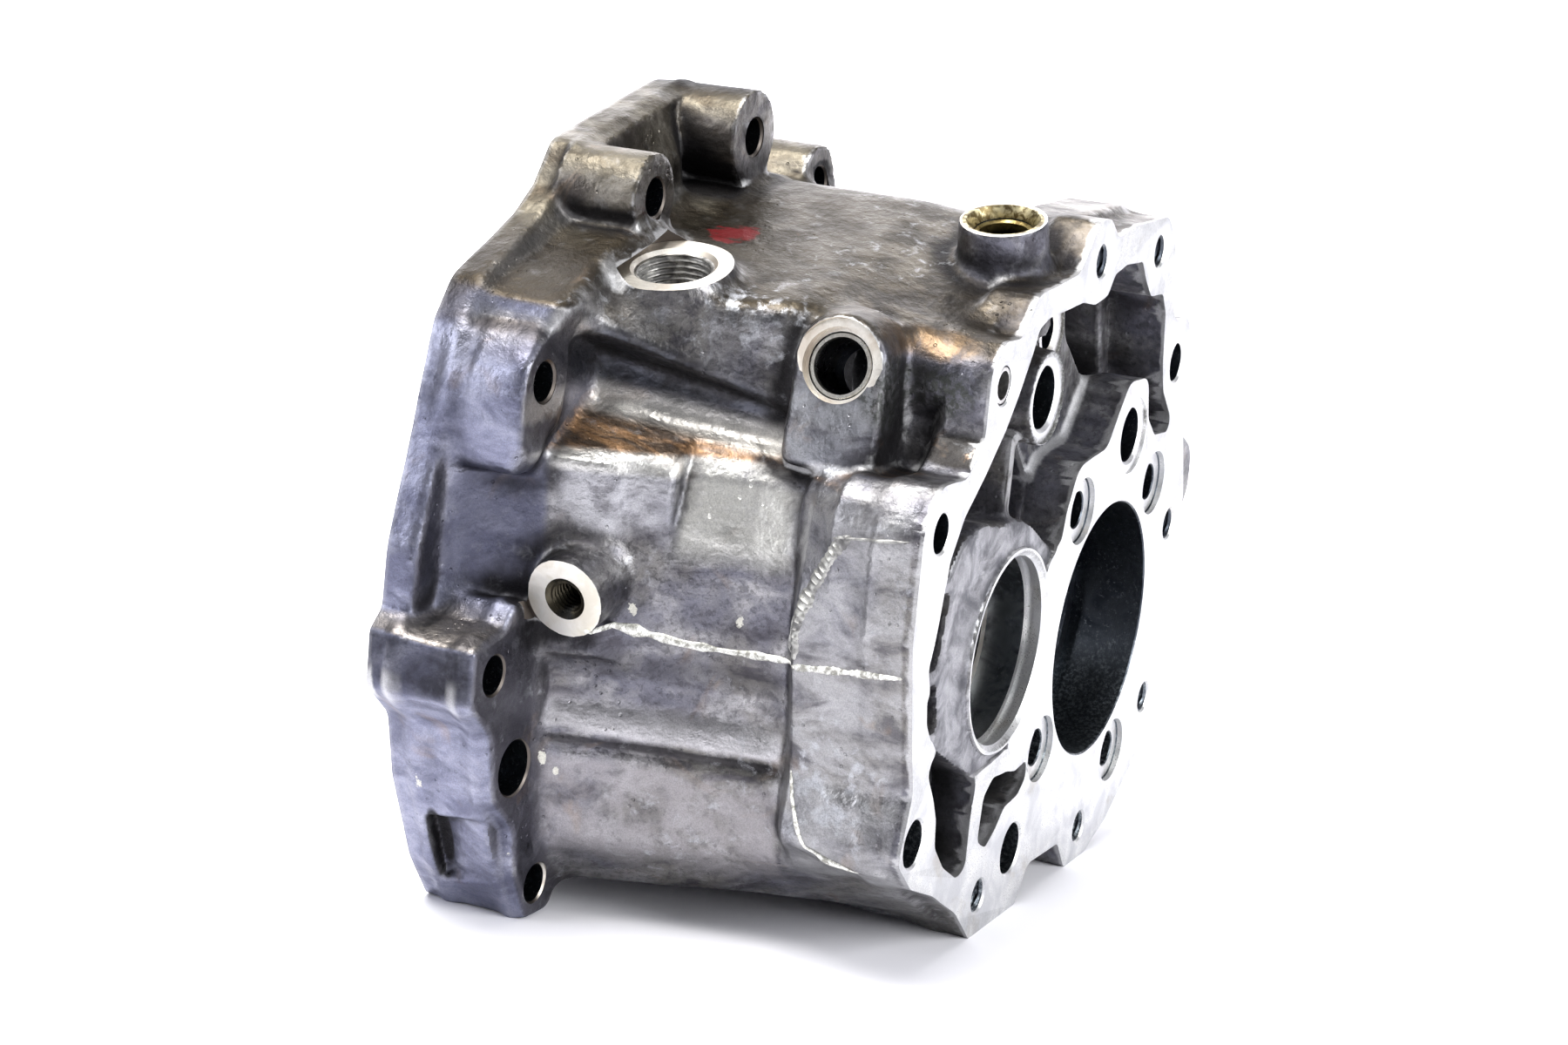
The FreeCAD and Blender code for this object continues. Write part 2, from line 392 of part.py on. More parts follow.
# webs from the carriers to the walls
inner.append(prism([(-100.0, 26.0, 1), (-84.0, 22.0, 1), (-84.0, 27.0, 1), (-104.0, 31.0, 1)], -24.0, -8.0))
inner.append(prism([(-112.0, 7.2, 1), (-88.0, 7.2, 1), (-88.0, 11.2, 1), (-112.0, 11.2, 1)], -24.0, -6.0))
inner.append(prism([(36.0, -4.0, 1), (44.0, -4.0, 1), (44.0, 2.0, 1), (36.0, 2.0, 1)], -26.0, -8.0))
inner.append(prism([(-4.0, -52.0, 1), (2.0, -52.0, 1), (2.0, -38.0, 1), (-4.0, -38.0, 1)], -26.0, -8.0))
# bosses around the blind tapped holes
for (y, z) in [(2.3, -53.5), (-67.4, -52.6), (-48.2, -46.0), (-32.1, 96.3), (47.0, 19.7), (44.3, -27.8)]:
    inner.append(cylx((y, z), 8.5, -24.0, -6.0).common(Part.makeBox(60, 300, 300, V(-40, -150, -62.4))))
for (y, z) in RETAINER:
    inner.append(cylx((y, z), 9.0, -26.0, -6.0))
inner.append(cylx((-116.4, 43.7), 9.5, -22.0, -4.0).common(Part.makeBox(60, 300, 300, V(-40, -124.6, -62.4))))
inner.append(cylx((-112.9, -27.6), 9.0, -20.0, -4.0).common(Part.makeBox(60, 300, 300, V(-40, -118.0, -62.4))))
# pads inside the wall under the bosses
hull_in = loft([(-110.0, [(p[0], p[1], p[2]) for p in S108]), (-87.0, S87), (-45.0, S45), (-8.0, S9)])
inner.append(Part.makeCylinder(13.0, 16.0, V(T1_C[0], T1_C[1] + 5.5, T1_C[2] - 17.0), V(*TAX)).common(hull_in))
inner.append(Part.makeCylinder(11.0, 24.0, V(T2_C[0], T2_C[1] + 8.0, T2_C[2] - 26.0), V(*TAX)).common(hull_in))
inner.append(Part.makeCylinder(10.0, 16.0, V(-31.0, -93.0, 71.5), V(0, -1, 0)).common(hull_in))
inner.append(Part.makeCylinder(8.5, 16.0, V(S2_C[0], S2_C[1] + 24.0, S2_C[2] + 6.0), V(*S2_AX)).common(hull_in))
case = join(case, inner)
print("carriers", case.isValid(), len(case.Solids), round(case.Volume / 1000.0, 1))

# ------------------------------------------------------- machining
m = []
XP = (1, 0, 0)
# faced planes
m.append(Part.makeBox(20.0, 400.0, 400.0, V(X_FACE, -200.0, -200.0)))
m.append(Part.makeBox(20.0, 400.0, 400.0, V(X_FLANGE - 20.0, -200.0, -200.0)))
m.append(Part.makeBox(200.0, 400.0, 20.0, V(-150.0, -200.0, Z_FLOOR - 20.0)))
# bearing bores
m.append(spin([(0, 1), (BIG_R, 1), (BIG_R, -19.0), (BIG_R - 4.0, -19.0), (BIG_R - 4.0, -30.0), (0, -30.0)], (0, 0, 0), XP))
m.append(spin([(0, 1), (SML_R + 1.2, 1), (SML_R + 1.2, 0), (SML_R, -1.2), (SML_R, -3.2), (SML_R + 1.7, -3.2), (SML_R + 1.7, -5.6),
               (SML_R, -5.6), (SML_R, -15.0), (SML_R - 3.0, -15.0), (SML_R - 3.0, -24.0), (0, -24.0)], (0, SML_C[0], SML_C[1]), XP))
# rail bores
m.append(spin([(0, 1), (8.3, 1), (8.3, -1.2), (7.5, -2.0), (7.5, -50.0), (0, -50.0)], (0, RAIL_1[0], RAIL_1[1]), XP))
m.append(spin([(0, 1), (7.7, 1), (7.7, -0.6), (7.0, -1.3), (7.0, -50.0), (0, -50.0)], (0, RAIL_2[0], RAIL_2[1]), XP))
m.append(spin([(0, 1), (5.4, 1), (5.4, -9.0), (4.5, -9.9), (4.5, -38.0), (0, -38.0)], (0, RAIL_3[0], RAIL_3[1]), XP))
# clearance holes of the end face
for (y, z, r), deep in zip(FACE_CLEAR, CLEAR_DEPTH):
    m.append(bore((0, y, z), XP, r, deep, 0.5, False))
# tapped holes of the end face, M8
for (y, z) in FACE_TAPPED:
    m.append(bore((0, y, z), XP, TAP8_R, 19.0, 1.0))
# retainer-plate holes with a shallow round seat
for (y, z) in RETAINER:
    m.append(spin([(0, 1), (8.4, 1), (8.4, -1.6), (CLEAR_R, -1.6), (CLEAR_R, -24.0), (0, -26.0)], (0, y, z), XP))
# dowel seats
m.append(bore((0, SLEEVE_C[0], SLEEVE_C[1]), XP, 4.5, 12.0, 0.4, False))
m.append(bore((0, SLEEVE_C[0], SLEEVE_C[1]), XP, 3.0, 40.0, 0.0, False))
m.append(bore((0, DOWEL_FAR[0], DOWEL_FAR[1]), XP, 5.0, 14.0, 0.6, False))
# flange holes, drilled through from the ear fronts
for (y, z) in FLANGE_HOLES:
    m.append(spin([(0, 5), (CLEAR_R + 0.5, 5), (CLEAR_R + 0.5, 0), (CLEAR_R, -0.5), (CLEAR_R, -30.0), (0, -30.0)], (X_EAR, y, z), XP))
for (y, z, r) in FLANGE_DOWELS:
    m.append(spin([(0, 5), (r + 0.5, 5), (r + 0.5, 0), (r, -0.5), (r, -30.0), (0, -30.0)], (X_EAR, y, z), XP))
# plug thread in the first deck boss, sleeve seat in the second
m.append(bore(T1_C, TAX, 8.25, 18.0, 1.0, False))
m.append(spin([(0, 1), (8.6, 1), (8.6, 0), (6.9, -2.6), (6.9, -26.0), (0, -26.0)], T2_C, TAX))
# cross-shaft bore
m.append(spin([(0, 3), (8.5, 3), (8.5, -1.5), (7.6, -1.5), (7.6, -14.0), (6.4, -14.0), (6.4, -30.0), (0, -30.0)], S1_C, S1_AX))
# blind hole in the slanted boss
m.append(bore(S2_C, S2_AX, 3.4, 15.0, 1.1))
# pocket in the flank of the lower ears
pk = Part.makeBox(20.0, 14.0, 19.0, V(-107.0, -151.0, -54.5))
pk.rotate(V(-107.0, -137.0, -45.0), V(1, 0, 0), 24)
m.append(pk)
case = carve(case, m)
case = case.removeSplitter()
print("machined", case.isValid(), len(case.Solids), round(case.Volume / 1000.0, 1), case.BoundBox)

# keep the one connected casting
sol = sorted(case.Solids, key=lambda s: -s.Volume)
for s in sol[1:]:
    print("  loose", round(s.Volume, 2), s.BoundBox)
housing = sol[0]

# ------------------------------------------------------- small fitted pieces
sleeve = spin([(3.3, -0.4), (4.1, -0.4), (4.5, -0.8), (4.5, -11.6), (4.1, -12.0), (3.3, -12.0)], (0, SLEEVE_C[0], SLEEVE_C[1]), XP)
bush_top = spin([(6.0, -3.4), (6.6, -2.9), (6.9, -2.9), (6.9, -16.0), (6.0, -16.0)], T2_C, TAX)
bush_side = spin([(6.4, -1.5), (7.2, -1.5), (7.6, -1.9), (7.6, -14.0), (6.4, -14.0)], S1_C, S1_AX)

os.makedirs("parts", exist_ok=True)
housing.exportStep("parts/housing.step")
sleeve.exportStep("parts/dowel_sleeve.step")
bush_top.exportStep("parts/bush_top.step")
bush_side.exportStep("parts/bush_side.step")
print("done", housing.isValid(), housing.BoundBox)
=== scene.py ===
import math, json
import numpy as np
import bpy, bmesh
from mathutils import Vector, Matrix

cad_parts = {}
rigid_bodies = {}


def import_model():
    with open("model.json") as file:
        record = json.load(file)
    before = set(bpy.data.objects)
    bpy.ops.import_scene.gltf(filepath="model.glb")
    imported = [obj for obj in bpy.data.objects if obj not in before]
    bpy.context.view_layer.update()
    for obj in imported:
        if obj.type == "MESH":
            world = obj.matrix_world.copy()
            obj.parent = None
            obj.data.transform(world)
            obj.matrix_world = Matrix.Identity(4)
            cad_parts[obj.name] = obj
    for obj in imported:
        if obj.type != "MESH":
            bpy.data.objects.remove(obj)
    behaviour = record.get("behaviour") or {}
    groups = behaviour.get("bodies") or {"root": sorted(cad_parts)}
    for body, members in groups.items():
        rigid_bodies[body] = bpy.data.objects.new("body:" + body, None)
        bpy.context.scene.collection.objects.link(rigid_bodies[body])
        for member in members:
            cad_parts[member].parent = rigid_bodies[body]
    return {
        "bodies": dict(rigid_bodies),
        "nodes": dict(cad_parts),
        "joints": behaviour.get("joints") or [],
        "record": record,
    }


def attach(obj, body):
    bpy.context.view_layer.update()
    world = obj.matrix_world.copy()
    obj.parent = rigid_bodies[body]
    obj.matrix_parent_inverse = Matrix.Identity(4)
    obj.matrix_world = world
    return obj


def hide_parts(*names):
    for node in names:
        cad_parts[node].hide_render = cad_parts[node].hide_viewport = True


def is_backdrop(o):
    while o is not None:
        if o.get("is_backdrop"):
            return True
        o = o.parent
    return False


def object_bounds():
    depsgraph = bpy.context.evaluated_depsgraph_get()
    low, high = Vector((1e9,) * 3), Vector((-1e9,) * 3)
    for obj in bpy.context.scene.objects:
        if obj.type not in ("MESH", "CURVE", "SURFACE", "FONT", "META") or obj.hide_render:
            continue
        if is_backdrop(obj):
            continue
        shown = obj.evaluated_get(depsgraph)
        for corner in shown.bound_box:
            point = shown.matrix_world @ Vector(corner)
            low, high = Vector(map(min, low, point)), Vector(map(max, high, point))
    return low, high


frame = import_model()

b0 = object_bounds()
MM = 0.001
rng = np.random.default_rng(20418)
H = 0.9          # sample pitch of the cast form, mm

# ------------------------------------------------------------------ tables
X_EAR, X_LIP, X_FLANGE, Z_FLOOR, PLATE_T = -87.0, -106.5, -114.0, -62.4, 12.0
BIG_R, SML_R, SML_C = 32.545, 22.62, (-65.0, 7.0)
TILT = math.radians(18.0)
TAX = np.array([0.0, -math.sin(TILT), math.cos(TILT)])
FLANGE_HOLES = [(-47.4, 115.4), (-95.6, 103.4), (-6.7, 101.7), (-140.2, 65.6),
                (-152.1, 1.4), (-126.1, -54.0), (37.5, 71.5), (59.0, -3.0), (43.0, -53.5)]
FLANGE_DOWELS = [(-139.9, -22.8, 6.5)]
FACE_CLEAR = [(-116.4, 43.7, 4.5), (-112.9, -27.6, 5.5), (-48.2, -46.0, 6.35)]
FACE_TAPPED = [(-32.1, 96.3), (11.0, 95.5), (2.3, -53.5), (-67.4, -52.6), (47.0, 19.7), (44.3, -27.8)]
RETAINER = [(-24.9, 34.4), (29.4, 33.5), (-34.9, -23.8), (21.9, -37.4)]
SLEEVE_C, DOWEL_FAR = (-88.6, 72.9), (36.5, 64.5)
RAIL_1, RAIL_2, RAIL_3 = (-57.5, 66.2), (7.6, 48.9), (-38.0, 78.5)
S1_C = np.array([-31.0, -110.5, 75.0]); S1_AX = np.array([0.0, -math.cos(math.radians(12)), math.sin(math.radians(12))])
S2_C = np.array([-78.0, -139.5, 18.2]); S2_AX = np.array([0.0, -0.968, -0.25]); S2_AX = S2_AX / np.linalg.norm(S2_AX)
T1_C = np.array([-76.0, -105.0, 90.0])
T2_C = np.array([-16.0, -59.0, 105.8])

RIM = [(-70.4, -62.4, 1.5), (-82.0, -52.9, 3), (-98.0, -44.2, 4), (-112.0, -38.6, 4), (-121.2, -30.5, 4),
       (-117.0, -15.5, 8), (-121.4, 0.0, 14), (-126.6, 20.0, 14), (-127.4, 45.5, 7), (-119.0, 54.4, 6),
       (-105.5, 54.0, 5), (-96.9, 62.0, 5), (-97.0, 78.5, 6), (-90.5, 82.8, 4), (-81.0, 82.4, 4),
       (-73.0, 91.6, 7), (-47.5, 94.6, 5), (-42.0, 100.5, 4), (-37.2, 106.4, 4), (-29.0, 106.2, 4),
       (-22.0, 101.0, 5), (-9.0, 103.0, 6), (15.0, 104.0, 6), (23.5, 97.0, 5), (24.5, 84.0, 5),
       (31.0, 76.0, 5), (42.0, 76.0, 6), (49.0, 67.0, 6), (46.0, 52.0, 6), (52.0, 40.0, 8),
       (57.5, 26.0, 6), (57.0, 12.0, 6), (51.5, 2.0, 8), (51.5, -16.0, 8), (56.0, -26.0, 6),
       (53.0, -37.0, 6), (42.0, -45.5, 8), (24.0, -57.0, 8), (9.5, -62.4, 4), (-6.0, -62.4, 1.5),
       (-13.0, -54.0, 3), (-34.0, -53.5, 4), (-41.0, -62.4, 1.5)]
S108 = [(-119, -57, 5), (-129, -45, 10), (-133, -10, 30), (-139, 49, 8), (-139, 58, 6), (-139, 70, 8),
        (-137, 78, 8), (-125, 84.5, 12), (-37, 107, 14), (2, 100, 16), (32, 80, 18), (55, 32, 24),
        (52, -30, 22), (34, -57, 8)]
S87 = [(-114, -56, 6), (-126, -44, 10), (-132, -10, 30), (-133, 49, 6), (-117, 59, 5), (-116, 71, 5),
       (-131, 79, 5), (-121, 83.5, 10), (-37, 105.5, 14), (2, 99, 16), (28, 80, 18), (50, 32, 24),
       (47, -30, 22), (30, -57, 8)]
S45 = [(-101, -53.5, 6), (-112, -41, 9), (-115.5, -8, 30), (-117.5, 48.5, 6), (-104, 53.5, 4), (-103, 60, 4),
       (-106.5, 63.5, 4), (-106.5, 85, 6), (-37, 105, 14), (2, 99, 16), (24, 82, 16), (43, 32, 20),
       (41, -30, 20), (24, -56, 8)]
S9 = [(-80, -55, 6), (-109, -38, 9), (-113, -8, 30), (-115, 47.5, 6), (-97, 51.5, 5), (-93, 60, 4),
      (-91, 66, 4), (-91, 80, 6), (-37, 101, 14), (2, 99, 10), (17, 90, 10), (40, 32, 20),
      (39, -28, 20), (16, -55, 8)]
C116 = [(-110, -49, 10), (-121, -42, 10), (-126, -8, 30), (-128, 40, 12), (-126, 60, 10), (-121, 70, 10),
        (-112, 77, 12), (-37, 97, 14), (-2, 92, 16), (25, 74, 18), (46, 30, 22), (43, -28, 20), (27, -49, 10)]
C87 = [(-107, -49, 10), (-119, -41, 10), (-125, -8, 30), (-125, 42, 8), (-109, 52, 6), (-106, 68, 6),
       (-104, 77, 8), (-37, 97, 14), (-2, 91, 16), (22, 74, 18), (43, 30, 22), (40, -28, 20), (24, -49, 10)]
C45 = [(-96, -46.5, 10), (-105, -38, 9), (-108.5, -8, 30), (-110, 41, 6), (-97, 46, 6), (-95, 60, 5),
       (-97, 76, 8), (-37, 96.5, 14), (-2, 91, 16), (18, 76, 16), (36, 30, 20), (34, -28, 20), (18, -48, 10)]
C12 = [(-78, -45.5, 8), (-102, -35, 8), (-106, -8, 30), (-108, 40, 6), (-90, 45, 6), (-84, 60, 6),
       (-82, 74, 8), (-37, 92, 10), (-2, 92, 10), (12, 82, 10), (33, 30, 18), (33, -24, 18), (12, -47, 8)]
LIP = [(-129.0, -62.4, 2), (-138.0, -50.0, 8), (-147.8, -28.5, 10), (-151.5, -13.0, 6), (-161.3, -4.5, 5),
       (-161.3, 8.2, 2), (-156.8, 12.5, 3), (-156.5, 26.0, 20), (-151.5, 45.0, 20), (-147.8, 60.0, 16),
       (-143.5, 76.0, 10), (-137.0, 85.0, 10), (-112.5, 97.3, 10), (-105.0, 103.5, 5), (-98.5, 113.6, 6),
       (-50.0, 126.6, 10), (-36.0, 126.0, 9), (-33.0, 110.0, 6), (-12.0, 112.2, 9), (3.0, 110.0, 8),
       (14.0, 94.0, 10), (34.0, 84.0, 10), (46.5, 80.0, 9), (51.0, 64.0, 8), (57.0, 40.0, 18),
       (59.0, 12.0, 10), (70.0, 6.0, 8), (70.0, -12.0, 8), (58.5, -18.0, 8), (56.0, -40.0, 12),
       (52.0, -62.4, 3), (31.0, -62.4, 3), (24.0, -55.5, 4), (-108.0, -55.5, 4), (-116.0, -62.4, 3)]
EAR_LOW = [(-129.0, -62.4, 2), (-138.0, -50.0, 8), (-147.8, -28.5, 10), (-151.5, -13.0, 6), (-161.3, -4.5, 5),
           (-161.3, 8.2, 2), (-156.0, 10.0, 3), (-148.8, 11.5, 3), (-144.5, 16.5, 3), (-136.0, 14.0, 2), (-118.0, 0.0, 2),
           (-118.0, -40.0, 2), (-112.0, -50.0, 3), (-118.0, -62.4, 4)]
EAR_LOW_FRONT = [(-129.0, -62.4, 2), (-136.0, -50.0, 4), (-138.5, -38.0, 4), (-148.5, -29.0, 5), (-151.5, -13.0, 6),
                 (-161.3, -4.5, 5), (-161.3, 8.2, 2), (-156.0, 10.0, 3), (-148.8, 11.5, 3), (-144.5, 16.5, 3),
                 (-136.0, 14.0, 2), (-118.0, 0.0, 2), (-118.0, -40.0, 2), (-112.0, -50.0, 3), (-118.0, -62.4, 4)]
EAR_UP = [(-131.2, 80.8, 2), (-136.4, 77.5, 6), (-143.0, 74.3, 6), (-148.0, 69.5, 8), (-149.0, 62.0, 10),
          (-148.0, 52.0, 4), (-141.0, 46.0, 3), (-137.0, 54.0, 4), (-131.5, 56.0, 5), (-129.4, 68.0, 8)]
CHEEK = [(-131.2, 80.8, 6), (-143.2, 75.5, 8), (-148.6, 66.0, 10), (-149.0, 56.0, 8), (-147.5, 45.0, 4), (-120.0, 44.0, 2),
         (-112.0, 60.0, 2), (-112.0, 84.0, 2)]
SHOULDER = [(-134.0, 79.5, 8), (-139.0, 81.0, 8), (-128.0, 87.0, 10), (-110.0, 94.5, 10), (-96.0, 99.0, 4), (-80.0, 94.0, 2), (-112.0, 74.0, 2)]
BULGE_F = [(-120.6, -31.5, 4), (-117.2, -15.5, 10), (-121.0, 0.0, 14), (-126.0, 20.0, 14), (-126.6, 45.0, 8), (-119.0, 53.0, 6),
           (-100.0, 52.0, 3), (-98.0, -38.0, 3), (-111.5, -38.0, 5)]
BULGE_N = [(-120.4, -31.5, 4), (-117.2, -15.5, 10), (-120.8, 0.0, 14), (-125.2, 20.0, 14), (-125.8, 44.5, 8), (-118.7, 52.5, 6),
           (-100.0, 51.0, 3), (-98.0, -38.0, 3), (-111.5, -38.0, 5)]
BULGE_M = [(-120.0, -31.5, 4), (-116.8, -15.5, 10), (-120.4, 0.0, 14), (-124.2, 18.0, 14), (-118.8, 44.5, 8), (-114.5, 50.5, 6),
           (-100.0, 50.0, 3), (-98.0, -38.0, 3), (-111.0, -38.0, 5)]
BULGE_B = [(-112.5, -29.0, 6), (-111.5, -15.5, 10), (-113.0, 0.0, 14), (-114.5, 18.0, 14), (-114.0, 42.0, 8), (-111.0, 48.0, 6),
           (-100.0, 48.0, 3), (-98.0, -36.0, 3), (-107.0, -36.5, 5)]
FOOT_F = [(-70.6, -62.0, 1.5), (-82.0, -52.9, 3), (-98.0, -44.2, 4), (-98.0, -40.0, 2), (-60.0, -46.0, 2), (-56.0, -62.0, 1.5)]
FOOT_B = [(-84.0, -56.5, 1.5), (-90.0, -52.0, 3), (-102.0, -45.0, 4), (-100.0, -40.0, 2), (-70.0, -46.0, 2), (-70.0, -55.0, 1.5)]
UPPER = [(-2.0, 94.0, 1.5), (-14.0, 94.3, 4), (-21.5, 92.6, 3), (-25.5, 87.5, 4), (-34.0, 86.0, 4), (-42.0, 87.2, 5),
         (-64.7, 85.6, 4), (-70.2, 83.8, 3), (-72.5, 79.0, 3), (-79.0, 69.2, 6), (-84.6, 62.1, 6), (-94.5, 52.8, 4),
         (-104.0, 45.2, 4), (-109.6, 36.5, 3), (-110.4, 32.0, 2.5), (-105.4, 31.4, 2.5), (-99.0, 38.5, 4), (-88.0, 41.0, 4),
         (-78.0, 39.0, 3), (-62.0, 38.0, 4), (-48.0, 30.0, 3), (-38.0, 27.5, 3), (-36.5, 36.0, 6), (-31.0, 46.5, 8), (-12.0, 48.5, 6),
         (-6.0, 56.0, 6), (0.5, 63.5, 6), (14.5, 63.0, 5), (18.0, 52.0, 3), (25.0, 46.6, 2.5), (36.0, 46.2, 3),
         (37.0, 50.0, 3), (28.0, 58.0, 5), (25.0, 65.0, 5), (21.6, 79.0, 3), (17.5, 84.0, 2.5), (8.0, 84.2, 3), (2.4, 89.0, 3)]
SLOT_2 = [(-109.4, 27.5, 2), (-115.6, 13.0, 2.2), (-114.2, 10.8, 1.5), (-105.5, 11.3, 1.5), (-102.0, 27.6, 2)]
SLOT_3 = [(-114.5, 6.8, 1.5), (-113.0, 0.0, 3), (-109.6, -4.4, 1.5), (-101.6, -4.0, 1.5), (-105.0, 6.8, 1.5)]
WIN_LOW = [(-105.0, -7.6, 3), (-109.2, -12.0, 3), (-103.6, -20.0, 3), (-100.8, -25.0, 4), (-99.8, -32.0, 5), (-93.0, -38.5, 5),
           (-84.0, -43.6, 4), (-78.6, -42.6, 3), (-78.8, -30.0, 6), (-77.4, -21.0, 4), (-86.0, -17.0, 4), (-96.5, -11.5, 5)]
WIN_MID = [(-44.2, -24.4, 2), (-52.0, -25.6, 3), (-58.0, -24.2, 3), (-66.4, -23.6, 3), (-71.5, -27.0, 3), (-72.4, -38.0, 2.5),
           (-66.6, -40.8, 2), (-61.0, -37.4, 4), (-56.4, -33.2, 3), (-48.0, -32.2, 3), (-44.0, -29.0, 2)]
WEB = [(-104.0, 44.0, 3), (-110.6, 31.0, 3), (-114.8, 12.0, 5), (-109.4, -4.0, 6), (-104.0, -9.0, 3), (-78.0, -20.5, 3),
       (-60.0, -18.0, 3), (-54.0, -19.5, 2), (-44.0, -10.0, 3), (-40.8, 7.0, 6), (-46.0, 24.0, 4), (-38.0, 28.0, 3),
       (-60.0, 42.0, 3), (-88.0, 42.0, 4)]
LUG = [(46.0, 46.0, 2), (62.0, 43.5, 5), (76.5, 36.5, 8), (79.0, 24.0, 8), (70.0, 13.0, 7), (46.0, 8.0, 2)]

# ------------------------------------------------------------------ field
X0, X1, Y0, Y1, Z0, Z1 = -118.5, 4.5, -166.0, 83.5, -67.0, 131.0
XS = np.arange(X0, X1, H, dtype=np.float32)
YS = np.arange(Y0, Y1, H, dtype=np.float32)
ZS = np.arange(Z0, Z1, H, dtype=np.float32)
NX, NY, NZ = len(XS), len(YS), len(ZS)
F = np.full((NX, NY, NZ), 30.0, dtype=np.float32)


def round_poly(pts, seg=5):
    """Rounded corners as short chords, the same count on every corner."""
    n = len(pts); out = []
    for i in range(n):
        p = np.array(pts[i][:2], float); r = pts[i][2] if len(pts[i]) > 2 else 0.0
        a = np.array(pts[i - 1][:2], float) - p; b = np.array(pts[(i + 1) % n][:2], float) - p
        la, lb = np.linalg.norm(a), np.linalg.norm(b); a /= la; b /= lb
        ang = math.acos(max(-1, min(1, float(a @ b))))
        if r <= 0 or ang > math.radians(178.5):
            out += [p] * (seg + 1); continue
        d = min(r / math.tan(ang / 2), 0.47 * min(la, lb)); r = d * math.tan(ang / 2)
        t1, t2 = p + a * d, p + b * d
        bis = (a + b) / np.linalg.norm(a + b); c = p + bis * (r / math.sin(ang / 2))
        v1, v2 = t1 - c, t2 - c
        th = math.acos(max(-1, min(1, float(v1 @ v2) / (r * r))))
        for k in range(seg + 1):
            s = k / seg
            if th < 1e-4: out.append(t1 * (1 - s) + t2 * s)
            else: out.append(c + (math.sin((1 - s) * th) * v1 + math.sin(s * th) * v2) / math.sin(th))
    return np.array(out)


def sd2(P, Y, Z):
    """Signed distance from the points (Y, Z) to the closed polygon P."""
    A = P; B = np.roll(P, -1, axis=0)
    keep = np.linalg.norm(B - A, axis=1) > 1e-6
    A, B = A[keep], B[keep]
    d = np.full(Y.shape, 1e9, dtype=np.float32); w = np.zeros(Y.shape, dtype=bool)
    for (ay, az), (by, bz) in zip(A, B):
        ey, ez = by - ay, bz - az
        vy, vz = Y - ay, Z - az
        t = np.clip((vy * ey + vz * ez) / (ey * ey + ez * ez), 0, 1)
        dy, dz = vy - t * ey, vz - t * ez
        np.minimum(d, dy * dy + dz * dz, out=d)
        c = (az <= Z) != (bz <= Z)
        if c.any():
            w ^= c & ((Y - ay) * ez - (Z - az) * ey < 0) if ez > 0 else c & ((Y - ay) * ez - (Z - az) * ey > 0)
    d = np.sqrt(d)
    return np.where(w, -d, d)


def idx(lo, hi, A, m):
    i0 = max(0, int(np.searchsorted(A, lo - m)) - 1); i1 = min(len(A), int(np.searchsorted(A, hi + m)) + 1)
    return slice(i0, i1)


def smin(a, b, k):
    if k <= 0: return np.minimum(a, b)
    h = np.maximum(k - np.abs(a - b), 0) / k
    return np.minimum(a, b) - h * h * (k * 0.25)


def smax(a, b, k):
    return -smin(-a, -b, k)


def put(sub, d, k, op):
    if op == "+": F[sub] = smin(F[sub], d, k)
    elif op == "-": F[sub] = smax(F[sub], -d, k)


def prism(pts, x0, x1, k=4.0, op="+", edge=0.0, m=10.0):
    P = round_poly(pts)
    sx, sy, sz = idx(x0, x1, XS, m), idx(P[:, 0].min(), P[:, 0].max(), YS, m), idx(P[:, 1].min(), P[:, 1].max(), ZS, m)
    Y, Z = np.meshgrid(YS[sy], ZS[sz], indexing="ij")
    d2 = sd2(P, Y, Z)[None]
    dx = np.maximum(x0 - XS[sx], XS[sx] - x1)[:, None, None]
    d = smax(d2, dx, edge * 2.0) if edge else np.maximum(d2, dx)
    o = (d2 > 0) & (dx > 0)
    d = np.where(o, np.hypot(np.maximum(d2, 0), np.maximum(dx, 0)), d) if not edge else d
    put((sx, sy, sz), d.astype(np.float32), k, op)


def loft(sections, k=4.0, op="+", edge=0.0, m=10.0, ext=0.0):
    xs = [s[0] for s in sections]; Ps = [round_poly(s[1]) for s in sections]
    al = np.concatenate(Ps)
    sx, sy, sz = idx(xs[0], xs[-1], XS, m), idx(al[:, 0].min(), al[:, 0].max(), YS, m), idx(al[:, 1].min(), al[:, 1].max(), ZS, m)
    Y, Z = np.meshgrid(YS[sy], ZS[sz], indexing="ij")
    X = XS[sx]; D = np.empty((len(X),) + Y.shape, dtype=np.float32)
    for i, x in enumerate(X):
        xc = min(max(x, xs[0]), xs[-1]); j = min(max(int(np.searchsorted(xs, xc)) - 1, 0), len(xs) - 2)
        t = (xc - xs[j]) / (xs[j + 1] - xs[j])
        D[i] = sd2(Ps[j] * (1 - t) + Ps[j + 1] * t, Y, Z)
    dx = np.maximum(xs[0] - X, X - xs[-1])[:, None, None]
    d = smax(D, dx, edge * 2.0) if edge else np.maximum(D, dx)
    put((sx, sy, sz), d.astype(np.float32), k, op)


def block(lo, hi, m):
    sx, sy, sz = idx(lo[0], hi[0], XS, m), idx(lo[1], hi[1], YS, m), idx(lo[2], hi[2], ZS, m)
    X, Y, Z = np.meshgrid(XS[sx], YS[sy], ZS[sz], indexing="ij")
    return (sx, sy, sz), X, Y, Z


